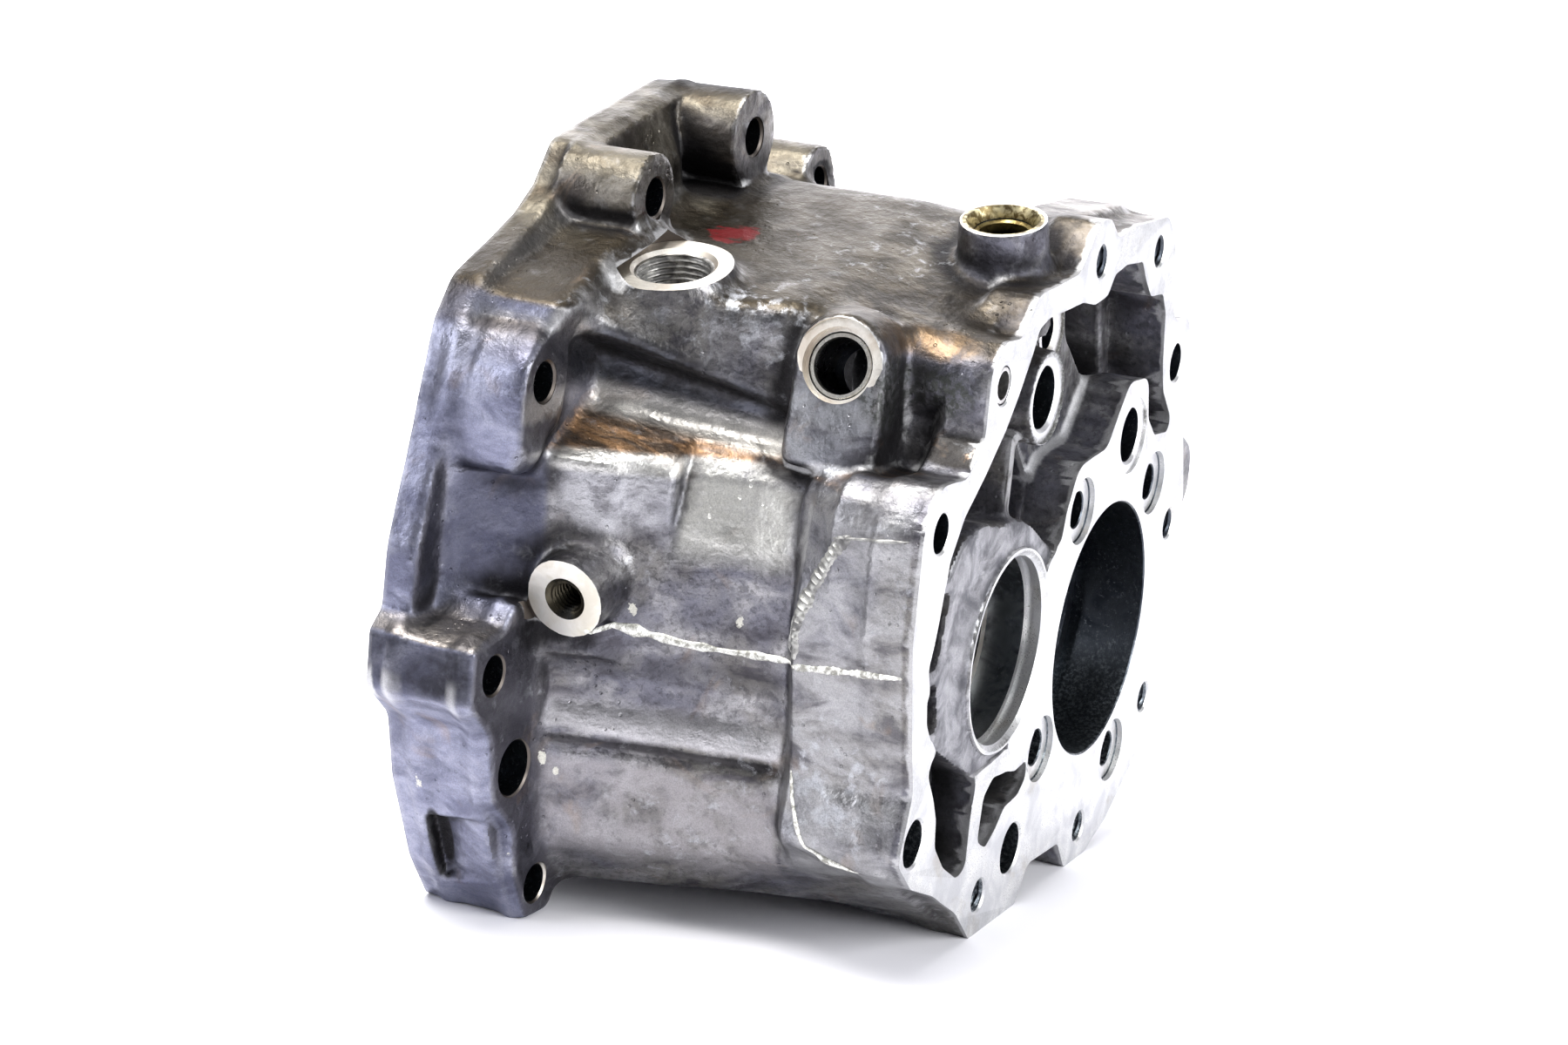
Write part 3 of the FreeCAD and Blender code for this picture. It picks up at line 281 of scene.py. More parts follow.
def cyl(o, ax, r, h0, h1, k=4.0, op="+", edge=0.0, r2=None, m=10.0, clip=None):
    """Cylinder or cone around o + t ax, t from h0 to h1, radius r at h0 and r2 at h1."""
    o = np.array(o, float); ax = np.array(ax, float); ax /= np.linalg.norm(ax)
    r2 = r if r2 is None else r2; R = max(r, r2)
    e = np.stack([o + ax * h0, o + ax * h1]); q = R * np.sqrt(np.maximum(1 - ax * ax, 0))
    sub, X, Y, Z = block((e.min(0) - q), (e.max(0) + q), m)
    px, py, pz = X - o[0], Y - o[1], Z - o[2]
    t = px * ax[0] + py * ax[1] + pz * ax[2]
    rad = np.sqrt(np.maximum(px * px + py * py + pz * pz - t * t, 0))
    s = np.clip((t - h0) / (h1 - h0), 0, 1)
    sl = math.cos(math.atan2(r2 - r, h1 - h0))
    dr = (rad - (r + (r2 - r) * s)) * sl
    dt = np.maximum(h0 - t, t - h1)
    d = smax(dr, dt, edge * 2.0) if edge else np.where((dr > 0) & (dt > 0), np.hypot(np.maximum(dr, 0), np.maximum(dt, 0)), np.maximum(dr, dt))
    if clip is not None: d = clip(d, X, Y, Z)
    put(sub, d.astype(np.float32), k, op)


def cylx(c, r, x0, x1, k=4.0, op="+", edge=0.0, clip=None):
    cyl((0, c[0], c[1]), (1, 0, 0), r, x0, x1, k, op, edge, clip=clip)


def ear(c, r, foot, x0, x1, k=4.0, op="+"):
    pts = []
    for q, sgn in ((foot[0], 1), (foot[1], -1)):
        dy, dz = q[0] - c[0], q[1] - c[1]; L = math.hypot(dy, dz)
        t = math.atan2(dz, dy) + sgn * math.acos(min(1.0, r / L))
        pts.append(((c[0] + r * math.cos(t), c[1] + r * math.sin(t)), q))
    (ta, qa), (tb, qb) = pts
    base = math.atan2(qa[1] + qb[1] - 2 * c[1], qa[0] + qb[0] - 2 * c[0])
    a0 = math.atan2(ta[1] - c[1], ta[0] - c[0]); a1 = math.atan2(tb[1] - c[1], tb[0] - c[0])
    # walk the far side of the circle from ta to tb
    span = (a1 - a0) % (2 * math.pi)
    mid = a0 + span / 2
    if math.cos(mid - base) > 0: span -= 2 * math.pi
    arc = [(c[0] + r * math.cos(a0 + span * i / 24), c[1] + r * math.sin(a0 + span * i / 24)) for i in range(25)]
    prism([tuple(p) for p in arc] + [qb, qa], x0, x1, k, op)


def prismz(pts, z0, z1, k=4.0, op="+", edge=0.0, m=10.0):
    """Prism along Z; points are (x, y, r)."""
    P = round_poly(pts)
    sx, sy, sz = idx(P[:, 0].min(), P[:, 0].max(), XS, m), idx(P[:, 1].min(), P[:, 1].max(), YS, m), idx(z0, z1, ZS, m)
    X, Y = np.meshgrid(XS[sx], YS[sy], indexing="ij")
    d2 = sd2(P, X, Y)[:, :, None]
    dz = np.maximum(z0 - ZS[sz], ZS[sz] - z1)[None, None, :]
    put((sx, sy, sz), smax(d2, dz, max(edge * 2.0, 0.01)).astype(np.float32), k, op)


def tube(path, r, k=2.0, op="+", m=6.0):
    """Chain of round-ended rods through the points."""
    p = np.array(path, float)
    for a, b in zip(p[:-1], p[1:]):
        lo, hi = np.minimum(a, b) - r, np.maximum(a, b) + r
        sub, X, Y, Z = block(lo, hi, m)
        v = b - a; L = float(v @ v)
        t = np.clip(((X - a[0]) * v[0] + (Y - a[1]) * v[1] + (Z - a[2]) * v[2]) / L, 0, 1)
        d = np.sqrt((X - a[0] - t * v[0]) ** 2 + (Y - a[1] - t * v[1]) ** 2 + (Z - a[2] - t * v[2]) ** 2) - r
        put(sub, d.astype(np.float32), k, op)


def fresh():
    return np.full((NX, NY, NZ), 30.0, dtype=np.float32)


# ------------------------------------------------------- the body
loft([(-108.0, S108), (-87.0, S87), (-45.0, S45), (-8.0, S9)], k=0)
# panel between the shelf and the parting line that leans inward at its top
LEAN_A = [(-138.0, 27.0, 0), (-123.6, 27.0, 4), (-118.3, 46.6, 4), (-114.3, 53.4, 3), (-114.0, 60.0, 2), (-138.0, 60.0, 0)]
LEAN_B = [(-138.0, 27.0, 0), (-117.6, 27.0, 4), (-112.8, 47.0, 4), (-108.4, 52.0, 3), (-108.0, 60.0, 2), (-138.0, 60.0, 0)]
LEAN_C = [(-138.0, 27.0, 0), (-116.4, 27.0, 4), (-111.4, 47.2, 4), (-107.0, 51.5, 3), (-106.5, 60.0, 2), (-138.0, 60.0, 0)]
loft([(-61.5, LEAN_A), (-45.0, LEAN_B), (-33.5, LEAN_C)], 2.2, "-")
# shallow cove under the parting line and a narrow groove below it, along the near wall
COVE_A = [(-145.0, 3.4, 0), (-132.6, 3.4, 2), (-129.9, -2.6, 5), (-129.6, -8.4, 5), (-131.9, -14.4, 2), (-145.0, -14.4, 0)]
COVE_B = [(-130.0, 3.4, 0), (-116.0, 3.4, 2), (-113.5, -2.6, 5), (-113.1, -8.9, 5), (-115.1, -15.2, 2), (-130.0, -15.2, 0)]
COVE_C = [(-130.0, 3.4, 0), (-114.9, 3.4, 2), (-112.3, -2.6, 5), (-112.0, -9.0, 5), (-113.9, -15.4, 2), (-130.0, -15.4, 0)]
GROOVE_A = [(-145.0, -16.2, 0), (-131.2, -16.2, 1), (-129.3, -18.0, 1.2), (-130.2, -20.4, 1), (-145.0, -20.4, 0)]
GROOVE_B = [(-130.0, -16.8, 0), (-114.9, -16.8, 1), (-112.9, -18.5, 1.2), (-113.9, -20.8, 1), (-130.0, -20.8, 0)]
GROOVE_C = [(-130.0, -17.0, 0), (-113.4, -17.0, 1), (-111.4, -18.7, 1.2), (-112.3, -21.0, 1), (-130.0, -21.0, 0)]
loft([(-86.5, COVE_A), (-45.0, COVE_B), (-27.0, COVE_C)], 2.0, "-")
loft([(-86.5, GROOVE_A), (-45.0, GROOVE_B), (-27.0, GROOVE_C)], 1.2, "-")
F_body = F

# ------------------------------------------------------- flange, ears and webs
F = fresh()
prism(LIP, -116.0, X_LIP, 0, edge=1.3)
prism(EAR_LOW, -108.0, -91.0, 3.6)
prism(EAR_LOW_FRONT, -92.0, X_EAR, 3.0, edge=0.9)
prism(CHEEK, -108.0, X_EAR - 1.5, 4.5, edge=1.6)
prism(EAR_UP, -100.0, X_EAR, 3.0, edge=0.9)
prism(SHOULDER, -108.0, -84.0, 7.0, edge=3.0)
ear((-47.4, 115.4), 11.2, ((-63.0, 97.0), (-28.0, 104.0)), -108.0, X_EAR, 2.5)
ear((-95.6, 103.4), 10.3, ((-112.0, 88.0), (-77.0, 93.0)), -108.0, X_EAR, 2.5)
ear((-6.7, 101.7), 10.0, ((-24.0, 98.0), (6.0, 88.0)), -108.0, X_EAR, 2.5)
ear((37.5, 71.5), 11.5, ((18.0, 82.0), (46.0, 48.0)), -108.0, X_EAR, 2.5)
ear((59.0, -3.0), 10.5, ((46.0, 14.0), (46.0, -20.0)), -108.0, X_EAR, 2.5)
prism([(52.0, -62.4, 3), (31.0, -62.4, 3), (26.0, -52.0, 3), (34.0, -34.0, 4), (50.0, -36.0, 4), (53.0, -48.0, 8)], -108.0, X_EAR, 1.5, edge=0.8)
prism([(-98.5, 112.0, 3), (-50.0, 125.2, 6), (-50.0, 104.0, 2), (-95.0, 92.0, 2)], -108.0, -103.5, 2.0)
FACET_A = [(-93.0, 97.0, 2), (-92.0, 111.5, 2), (-60.0, 120.5, 2), (-56.0, 104.0, 2)]
FACET_B = [(-80.0, 98.0, 2), (-79.0, 104.0, 2), (-62.0, 110.0, 2), (-60.0, 101.0, 2)]
loft([(-106.0, FACET_A), (-104.5, FACET_A), (-98.0, FACET_B)], 5.0, edge=1.0)
prismz([(-108.0, -147.5, 2), (-108.0, -118.0, 0), (-66.0, -116.0, 0), (-74.0, -130.0, 6), (-94.0, -137.5, 14)], 4.0, 48.0, 3.0)
# pocket in the flank of the lower ears
c24, s24 = math.cos(math.radians(24)), math.sin(math.radians(24))
pk = [(-151.0, -54.5), (-137.0, -54.5), (-137.0, -35.5), (-151.0, -35.5)]
pk = [(-137.0 + (y + 137.0) * c24 - (z + 45.0) * s24, -45.0 + (y + 137.0) * s24 + (z + 45.0) * c24, 1.5) for y, z in pk]
pk_in = lambda dep: [(yy - dep * 0.914, zz - dep * -0.407, r_) if i_ in (1, 2) else (yy, zz, r_) for i_, (yy, zz, r_) in enumerate(pk)]
loft([(-106.5, pk), (-103.5, pk), (-89.5, pk_in(4.4))], 1.2, "-")
F_flange = F

# ------------------------------------------------------- end plate and what hangs on it
F = fresh()
prism(RIM, -PLATE_T, 1.8, 0, edge=0.9)
loft([(-33.6, BULGE_B), (-29.8, BULGE_M), (-21.0, BULGE_N), (-6.0, BULGE_F)], 1.4, edge=1.0)
loft([(-42.0, FOOT_B), (-8.0, FOOT_F)], 2.5)
cylx(SLEEVE_C, 9.8, -30.0, -2.0, 1.5, edge=1.2)
prism([(-97.8, 61.5, 3), (-97.8, 74.0, 3), (-86.0, 74.0, 2), (-86.0, 60.0, 2)], -10.0, -2.0, 1.5)
prism([(-30.0, 96.0, 2), (-28.0, 104.6, 3), (10.0, 106.0, 3), (14.0, 96.0, 2)], -26.0, -10.0, 4.0, edge=1.0)
prism(LUG, -17.0, -4.5, 2.5, edge=1.6)
BACK_PAD = [(8.0, 92.0, 3), (19.0, 90.0, 4), (27.0, 84.0, 5), (31.5, 74.0, 6), (36.0, 60.0, 4), (30.0, 52.0, 1), (12.0, 80.0, 1)]
prism(BACK_PAD, -27.0, -10.0, 3.0, edge=1.0)
F_end = F

F = smin(F_body, F_flange, 5.0)
F = smin(F, F_end, 4.5)
del F_body, F_flange, F_end

# arched pad of the cross-shaft bore
c6, s6 = math.cos(math.radians(6)), math.sin(math.radians(6))
sub, X, Y, Z = block((-43, -113.5, 51.0), (-19, -96, 87.5), 8.0)
arch = np.where(Z > 75.0, np.hypot(X + 31.0, Z - 75.0) - 11.3, np.abs(X + 31.0) - 11.3)
arch = smax(arch, 51.5 - Z, 3.0)
front = -(Y + 110.8) * c6 + (Z - 75.0) * s6
put(sub, smax(smax(arch, front, 2.6), Y + 96.0, 1.0).astype(np.float32), 3.0, "+")
del X, Y, Z
# bosses
cyl(S2_C, S2_AX, 9.3, -22.0, 0.9, 3.2, edge=0.6)
cyl(T1_C, TAX, 13.5, -13.0, 0.9, 6.0, edge=1.0)
cyl(T2_C, TAX, 11.2, -19.0, 0.9, 3.6, edge=0.9, r2=10.3)

F_out = F.copy()                    # the outer form alone, for masks

# ------------------------------------------------------- inside
loft([(-117.5, C116), (-87.0, C87), (-45.0, C45), (-PLATE_T, C12)], 2.5, "-")
for w in (UPPER, SLOT_2, SLOT_3, WIN_LOW, WIN_MID):
    prism(w, -PLATE_T - 3.0, 3.0, 1.6, "-")
sub, X, Y, Z = block((-1.8, -118.0, -24.0), (3.0, -34.0, 46.0), 3.0)
d = np.maximum(sd2(round_poly(WEB), Y[0], Z[0])[None], -1.6 - X)
d = smax(d, -(np.hypot(Y - SML_C[0], Z - SML_C[1]) - SML_R - 1.9), 0.5)
keep = sd2(np.array([(-60.0, -24.0), (-30.0, -24.0), (-30.0, 20.0), (-40.0, 24.0), (-50.0, 20.0)]), Y[0], Z[0])[None]
put(sub, smax(d, -keep, 0.5).astype(np.float32), 0.8, "-")
del X, Y, Z

zclip = lambda d, X, Y, Z: np.maximum(d, Z_FLOOR - Z)
cylx((0, 0), 40.5, -26.0, -2.0, 3.0)
cylx(SML_C, 29.0, -20.0, -2.0, 3.0)
cylx(RAIL_1, 11.2, -46.0, -0.4, 2.0, edge=0.6)
cylx(RAIL_2, 10.2, -46.0, 0.4, 2.0, edge=0.6)
cylx(RAIL_3, 8.5, -34.0, -8.2, 2.0, edge=0.6)
prism([(-66.0, 58.0, 3), (-72.0, 78.0, 3), (-62.0, 90.0, 3), (-20.0, 90.0, 3), (-16.0, 74.0, 8), (6.0, 58.0, 4),
       (14.0, 46.0, 3), (0.0, 36.0, 3), (-30.0, 40.0, 8), (-46.0, 56.0, 8)], -22.0, -13.0, 4.0)
prism([(-69.0, 58.0, 0.8), (-69.4, 34.0, 0.8), (-66.2, 34.0, 0.8), (-65.6, 58.0, 0.8)], -24.0, -4.0, 3.0)
prism([(-100.0, 26.0, 1), (-84.0, 22.0, 1), (-84.0, 27.0, 1), (-104.0, 31.0, 1)], -24.0, -8.0, 3.0)
prism([(-112.0, 7.2, 1), (-88.0, 7.2, 1), (-88.0, 11.2, 1), (-112.0, 11.2, 1)], -24.0, -6.0, 3.0)
prism([(36.0, -4.0, 1), (44.0, -4.0, 1), (44.0, 2.0, 1), (36.0, 2.0, 1)], -26.0, -8.0, 3.0)
prism([(-4.0, -52.0, 1), (2.0, -52.0, 1), (2.0, -38.0, 1), (-4.0, -38.0, 1)], -26.0, -8.0, 3.0)
for c in [(2.3, -53.5), (-67.4, -52.6), (-48.2, -46.0), (-32.1, 96.3), (47.0, 19.7), (44.3, -27.8)]:
    cylx(c, 8.5, -24.0, -6.0, 2.0, clip=zclip)
for c in RETAINER:
    cylx(c, 9.0, -26.0, -6.0, 2.0)
cylx((-116.4, 43.7), 9.5, -22.0, -4.0, 2.0, clip=lambda d, X, Y, Z: np.maximum(d, -124.6 - Y))
cylx((-112.9, -27.6), 9.0, -20.0, -4.0, 2.0, clip=lambda d, X, Y, Z: np.maximum(d, -118.0 - Y))
cyl((T1_C[0], T1_C[1] + 5.5, T1_C[2] - 17.0), TAX, 13.0, 0.0, 10.0, 2.5)
cyl((T2_C[0], T2_C[1] + 8.0, T2_C[2] - 26.0), TAX, 11.0, 0.0, 15.0, 2.5)
cyl((-31.0, -93.0, 71.5), (0, -1, 0), 10.0, 0.0, 8.0, 2.5)
cyl((S2_C[0], S2_C[1] + 24.0, S2_C[2] + 6.0), S2_AX, 8.5, 0.0, 8.0, 2.5)


# ------------------------------------------------------- cast unevenness
def waves(pitch, amp, seed):
    """Smooth random waviness of a given pitch in mm."""
    r = np.random.default_rng(seed)
    n = [int(math.ceil((A[-1] - A[0]) / pitch)) + 3 for A in (XS, YS, ZS)]
    g = r.standard_normal(n).astype(np.float32)
    for ax, A in enumerate((XS, YS, ZS)):
        t = (A - A[0]) / pitch; i = t.astype(int); f = (t - i).astype(np.float32); f = f * f * (3 - 2 * f)
        sh = [1, 1, 1]; sh[ax] = -1
        g = np.take(g, i, axis=ax) * (1 - f.reshape(sh)) + np.take(g, i + 1, axis=ax) * f.reshape(sh)
    return g * amp


F += waves(17.0, 0.16, 11) + waves(7.0, 0.06, 12)


# ------------------------------------------------------- meshing
def sample(P, field=None):
    """Trilinear value of the field at points in mm."""
    G = F if field is None else field
    q = (np.asarray(P, float) - np.array([X0, Y0, Z0])) / H
    q = np.clip(q, 0, np.array([NX, NY, NZ]) - 1.001)
    i = q.astype(int); f = (q - i)
    x, y, z = i.T; a, b, c = f.T
    v = 0
    for dx in (0, 1):
        for dy in (0, 1):
            for dz in (0, 1):
                w = (a if dx else 1 - a) * (b if dy else 1 - b) * (c if dz else 1 - c)
                v = v + w * G[x + dx, y + dy, z + dz]
    return v


def mesh_obj(name, verts, faces, mats=()):
    me = bpy.data.meshes.new(name)
    me.from_pydata([tuple(v) for v in np.asarray(verts, float) * MM], [], [tuple(f) for f in faces])
    me.validate(); me.update()
    o = bpy.data.objects.new(name, me)
    bpy.context.scene.collection.objects.link(o)
    for m in mats: me.materials.append(m)
    return o


def bake(o):
    """Apply every modifier."""
    dg = bpy.context.evaluated_depsgraph_get()
    me = bpy.data.meshes.new_from_object(o.evaluated_get(dg), preserve_all_data_layers=True, depsgraph=dg)
    o.modifiers.clear(); old = o.data; o.data = me; bpy.data.meshes.remove(old)
    return o


def field_mesh(name, tris):
    import openvdb as vdb
    g = vdb.FloatGrid(3.0 * H)
    g.copyFromArray(np.clip(F, -3 * H, 3 * H).astype(np.float32))
    g.transform = vdb.createLinearTransform(voxelSize=H)
    pts, tri, quad = g.convertToPolygons(0.0, 0.0)
    pts = np.asarray(pts) + np.array([X0, Y0, Z0])
    quad = np.asarray(quad); tri = np.asarray(tri)
    me = bpy.data.meshes.new(name)
    n = len(quad)
    me.vertices.add(len(pts)); me.vertices.foreach_set("co", (pts * MM).astype(np.float32).ravel())
    me.loops.add(4 * n); me.loops.foreach_set("vertex_index", quad[:, ::-1].astype(np.int32).ravel())
    me.polygons.add(n); me.polygons.foreach_set("loop_start", np.arange(n, dtype=np.int32) * 4)
    me.update(calc_edges=True); me.validate()
    o = bpy.data.objects.new(name, me); bpy.context.scene.collection.objects.link(o)
    # keep the one connected casting
    bm = bmesh.new(); bm.from_mesh(me)
    bm.verts.ensure_lookup_table()
    seen = np.zeros(len(bm.verts), dtype=bool); groups = []
    for v in bm.verts:
        if seen[v.index]: continue
        st = [v]; seen[v.index] = True; grp = []
        while st:
            a = st.pop(); grp.append(a)
            for e in a.link_edges:
                b = e.other_vert(a)
                if not seen[b.index]:
                    seen[b.index] = True; st.append(b)
        groups.append(grp)
    groups.sort(key=len, reverse=True)
    for grp in groups[1:]:
        if len(grp) < 4000:
            bmesh.ops.delete(bm, geom=grp, context="VERTS")
    if bm.calc_volume(signed=True) < 0:
        bmesh.ops.reverse_faces(bm, faces=bm.faces[:])
    bm.to_mesh(me); bm.free()
    dec = o.modifiers.new("d", "DECIMATE"); dec.ratio = min(1.0, tris / (2.0 * n)); dec.use_collapse_triangulate = True
    print("field mesh quads", n, "shells", len(groups))
    return bake(o)


# ------------------------------------------------------- cutters
class Cut:
    def __init__(s): s.v, s.f, s.m = [], [], []

    def add(s, v, f, m):
        b = len(s.v); s.v += [tuple(p) for p in v]; s.f += [tuple(b + i for i in q) for q in f]; s.m += [m] * len(f)

    def box(s, lo, hi, m=1):
        x0, y0, z0 = lo; x1, y1, z1 = hi
        v = [(x0, y0, z0), (x1, y0, z0), (x1, y1, z0), (x0, y1, z0), (x0, y0, z1), (x1, y0, z1), (x1, y1, z1), (x0, y1, z1)]
        s.add(v, [(0, 3, 2, 1), (4, 5, 6, 7), (0, 1, 5, 4), (1, 2, 6, 5), (2, 3, 7, 6), (3, 0, 4, 7)], m)

    def spin(s, prof, o, ax, n=64, m=1, mats=None):
        """prof: (radius, height) from the far end to the near end of the axis; both ends close on the axis."""
        o = np.array(o, float); ax = np.array(ax, float); ax /= np.linalg.norm(ax)
        ref = np.array([1.0, 0, 0]) if abs(ax[0]) < 0.9 else np.array([0, 1.0, 0])
        e1 = ref - ax * (ref @ ax); e1 /= np.linalg.norm(e1); e2 = np.cross(ax, e1)
        v = []; f = []
        for r, h in prof:
            for k in range(n):
                a = 2 * math.pi * k / n
                v.append(o + ax * h + (e1 * math.cos(a) + e2 * math.sin(a)) * r)
        R = len(prof)
        mm = []
        for j in range(R - 1):
            for k in range(n):
                k2 = (k + 1) % n
                f.append((j * n + k, j * n + k2, (j + 1) * n + k2, (j + 1) * n + k)); mm.append(mats[j] if mats else m)
        f.append(tuple(range(n - 1, -1, -1))); mm.append(m)
        f.append(tuple((R - 1) * n + k for k in range(n))); mm.append(m)
        b = len(s.v); s.v += [tuple(p) for p in v]; s.f += [tuple(b + i for i in q) for q in f]; s.m += mm

    def apply(s, o, mats):
        c = mesh_obj("cutter", s.v, s.f, mats)
        c.data.polygons.foreach_set("material_index", np.array(s.m, np.int32)); c.data.update()
        b = o.modifiers.new("b", "BOOLEAN"); b.operation = "DIFFERENCE"; b.object = c
        b.solver = "MANIFOLD"
        n0 = len(o.data.polygons)
        bake(o)
        n1 = len(o.data.polygons)
        print("cut", len(s.f), "faces:", n0, "->", n1)
        bpy.data.objects.remove(c)
        return o


# ------------------------------------------------------- materials
def tree(name, metallic=1.0):
    m = bpy.data.materials.new(name); m.use_nodes = True
    nt = m.node_tree; nt.nodes.clear()
    out = nt.nodes.new("ShaderNodeOutputMaterial"); b = nt.nodes.new("ShaderNodeBsdfPrincipled")
    nt.links.new(b.outputs[0], out.inputs[0]); b.inputs["Metallic"].default_value = metallic
    tc = nt.nodes.new("ShaderNodeTexCoord")
    mp = nt.nodes.new("ShaderNodeMapping"); mp.inputs["Scale"].default_value = (1000, 1000, 1000)
    nt.links.new(tc.outputs["Object"], mp.inputs["Vector"])
    return m, nt, b, mp.outputs[0]


def put_in(nt, sock, v):
    if isinstance(v, bpy.types.NodeSocket): nt.links.new(v, sock)
    elif v is not None: sock.default_value = v


def noise(nt, vec, scale, detail=3.0, rough=0.55, dist=0.0):
    n = nt.nodes.new("ShaderNodeTexNoise"); nt.links.new(vec, n.inputs["Vector"])
    n.inputs["Scale"].default_value = scale; n.inputs["Detail"].default_value = detail
    n.inputs["Roughness"].default_value = rough; n.inputs["Distortion"].default_value = dist
    return n.outputs["Fac"]


def vor(nt, vec, scale, feature="F1"):
    n = nt.nodes.new("ShaderNodeTexVoronoi"); n.feature = feature; nt.links.new(vec, n.inputs["Vector"])
    n.inputs["Scale"].default_value = scale
    return n.outputs["Distance"]


def stretch(nt, vec, sx, sy, sz, rot=(0, 0, 0)):
    n = nt.nodes.new("ShaderNodeMapping"); nt.links.new(vec, n.inputs["Vector"])
    n.inputs["Scale"].default_value = (sx, sy, sz); n.inputs["Rotation"].default_value = rot
    return n.outputs[0]


def math_(nt, op, a, b=None, c=None, clamp=False):
    n = nt.nodes.new("ShaderNodeMath"); n.operation = op; n.use_clamp = clamp
    for i, v in enumerate((a, b, c)):
        if v is not None: put_in(nt, n.inputs[i], v)
    return n.outputs[0]


def ramp(nt, v, lo, hi, a=0.0, b=1.0, smooth=True):
    n = nt.nodes.new("ShaderNodeMapRange"); n.interpolation_type = "SMOOTHSTEP" if smooth else "LINEAR"
    put_in(nt, n.inputs[0], v)
    for i, x in enumerate((lo, hi, a, b)): n.inputs[i + 1].default_value = x
    return n.outputs[0]


def mix(nt, f, a, b, mode="MIX"):
    n = nt.nodes.new("ShaderNodeMix"); n.data_type = "RGBA"; n.blend_type = mode
    put_in(nt, n.inputs[0], f); put_in(nt, n.inputs[6], a); put_in(nt, n.inputs[7], b)
    return n.outputs[2]


def rgb(r, g, b): return (r, g, b, 1.0)


def sep(nt, vec):
    n = nt.nodes.new("ShaderNodeSeparateXYZ"); nt.links.new(vec, n.inputs[0])
    return n.outputs[0], n.outputs[1], n.outputs[2]


def attr(nt, name):
    n = nt.nodes.new("ShaderNodeAttribute"); n.attribute_name = name
    return n.outputs["Fac"]


def bump(nt, bsdf, *layers):
    """layers: (height socket, distance in mm, strength)"""
    prev = None
    for h, d, st in layers:
        n = nt.nodes.new("ShaderNodeBump"); nt.links.new(h, n.inputs["Height"])
        n.inputs["Distance"].default_value = d * MM; n.inputs["Strength"].default_value = st
        if prev is not None: nt.links.new(prev, n.inputs["Normal"])
        prev = n.outputs[0]
    nt.links.new(prev, bsdf.inputs["Normal"])


def around(nt, xyz, c, r):
    """1 at the point c, falling to 0 at the radii r along each axis."""
    s_ = None
    for v, cc, rr in zip(xyz, c, r):
        t = math_(nt, "DIVIDE", math_(nt, "SUBTRACT", v, cc), rr)
        t = math_(nt, "MULTIPLY", t, t)
        s_ = t if s_ is None else math_(nt, "ADD", s_, t)
    return math_(nt, "SUBTRACT", 1.0, s_, clamp=True)


def mul(nt, a, b): return math_(nt, "MULTIPLY", a, b)


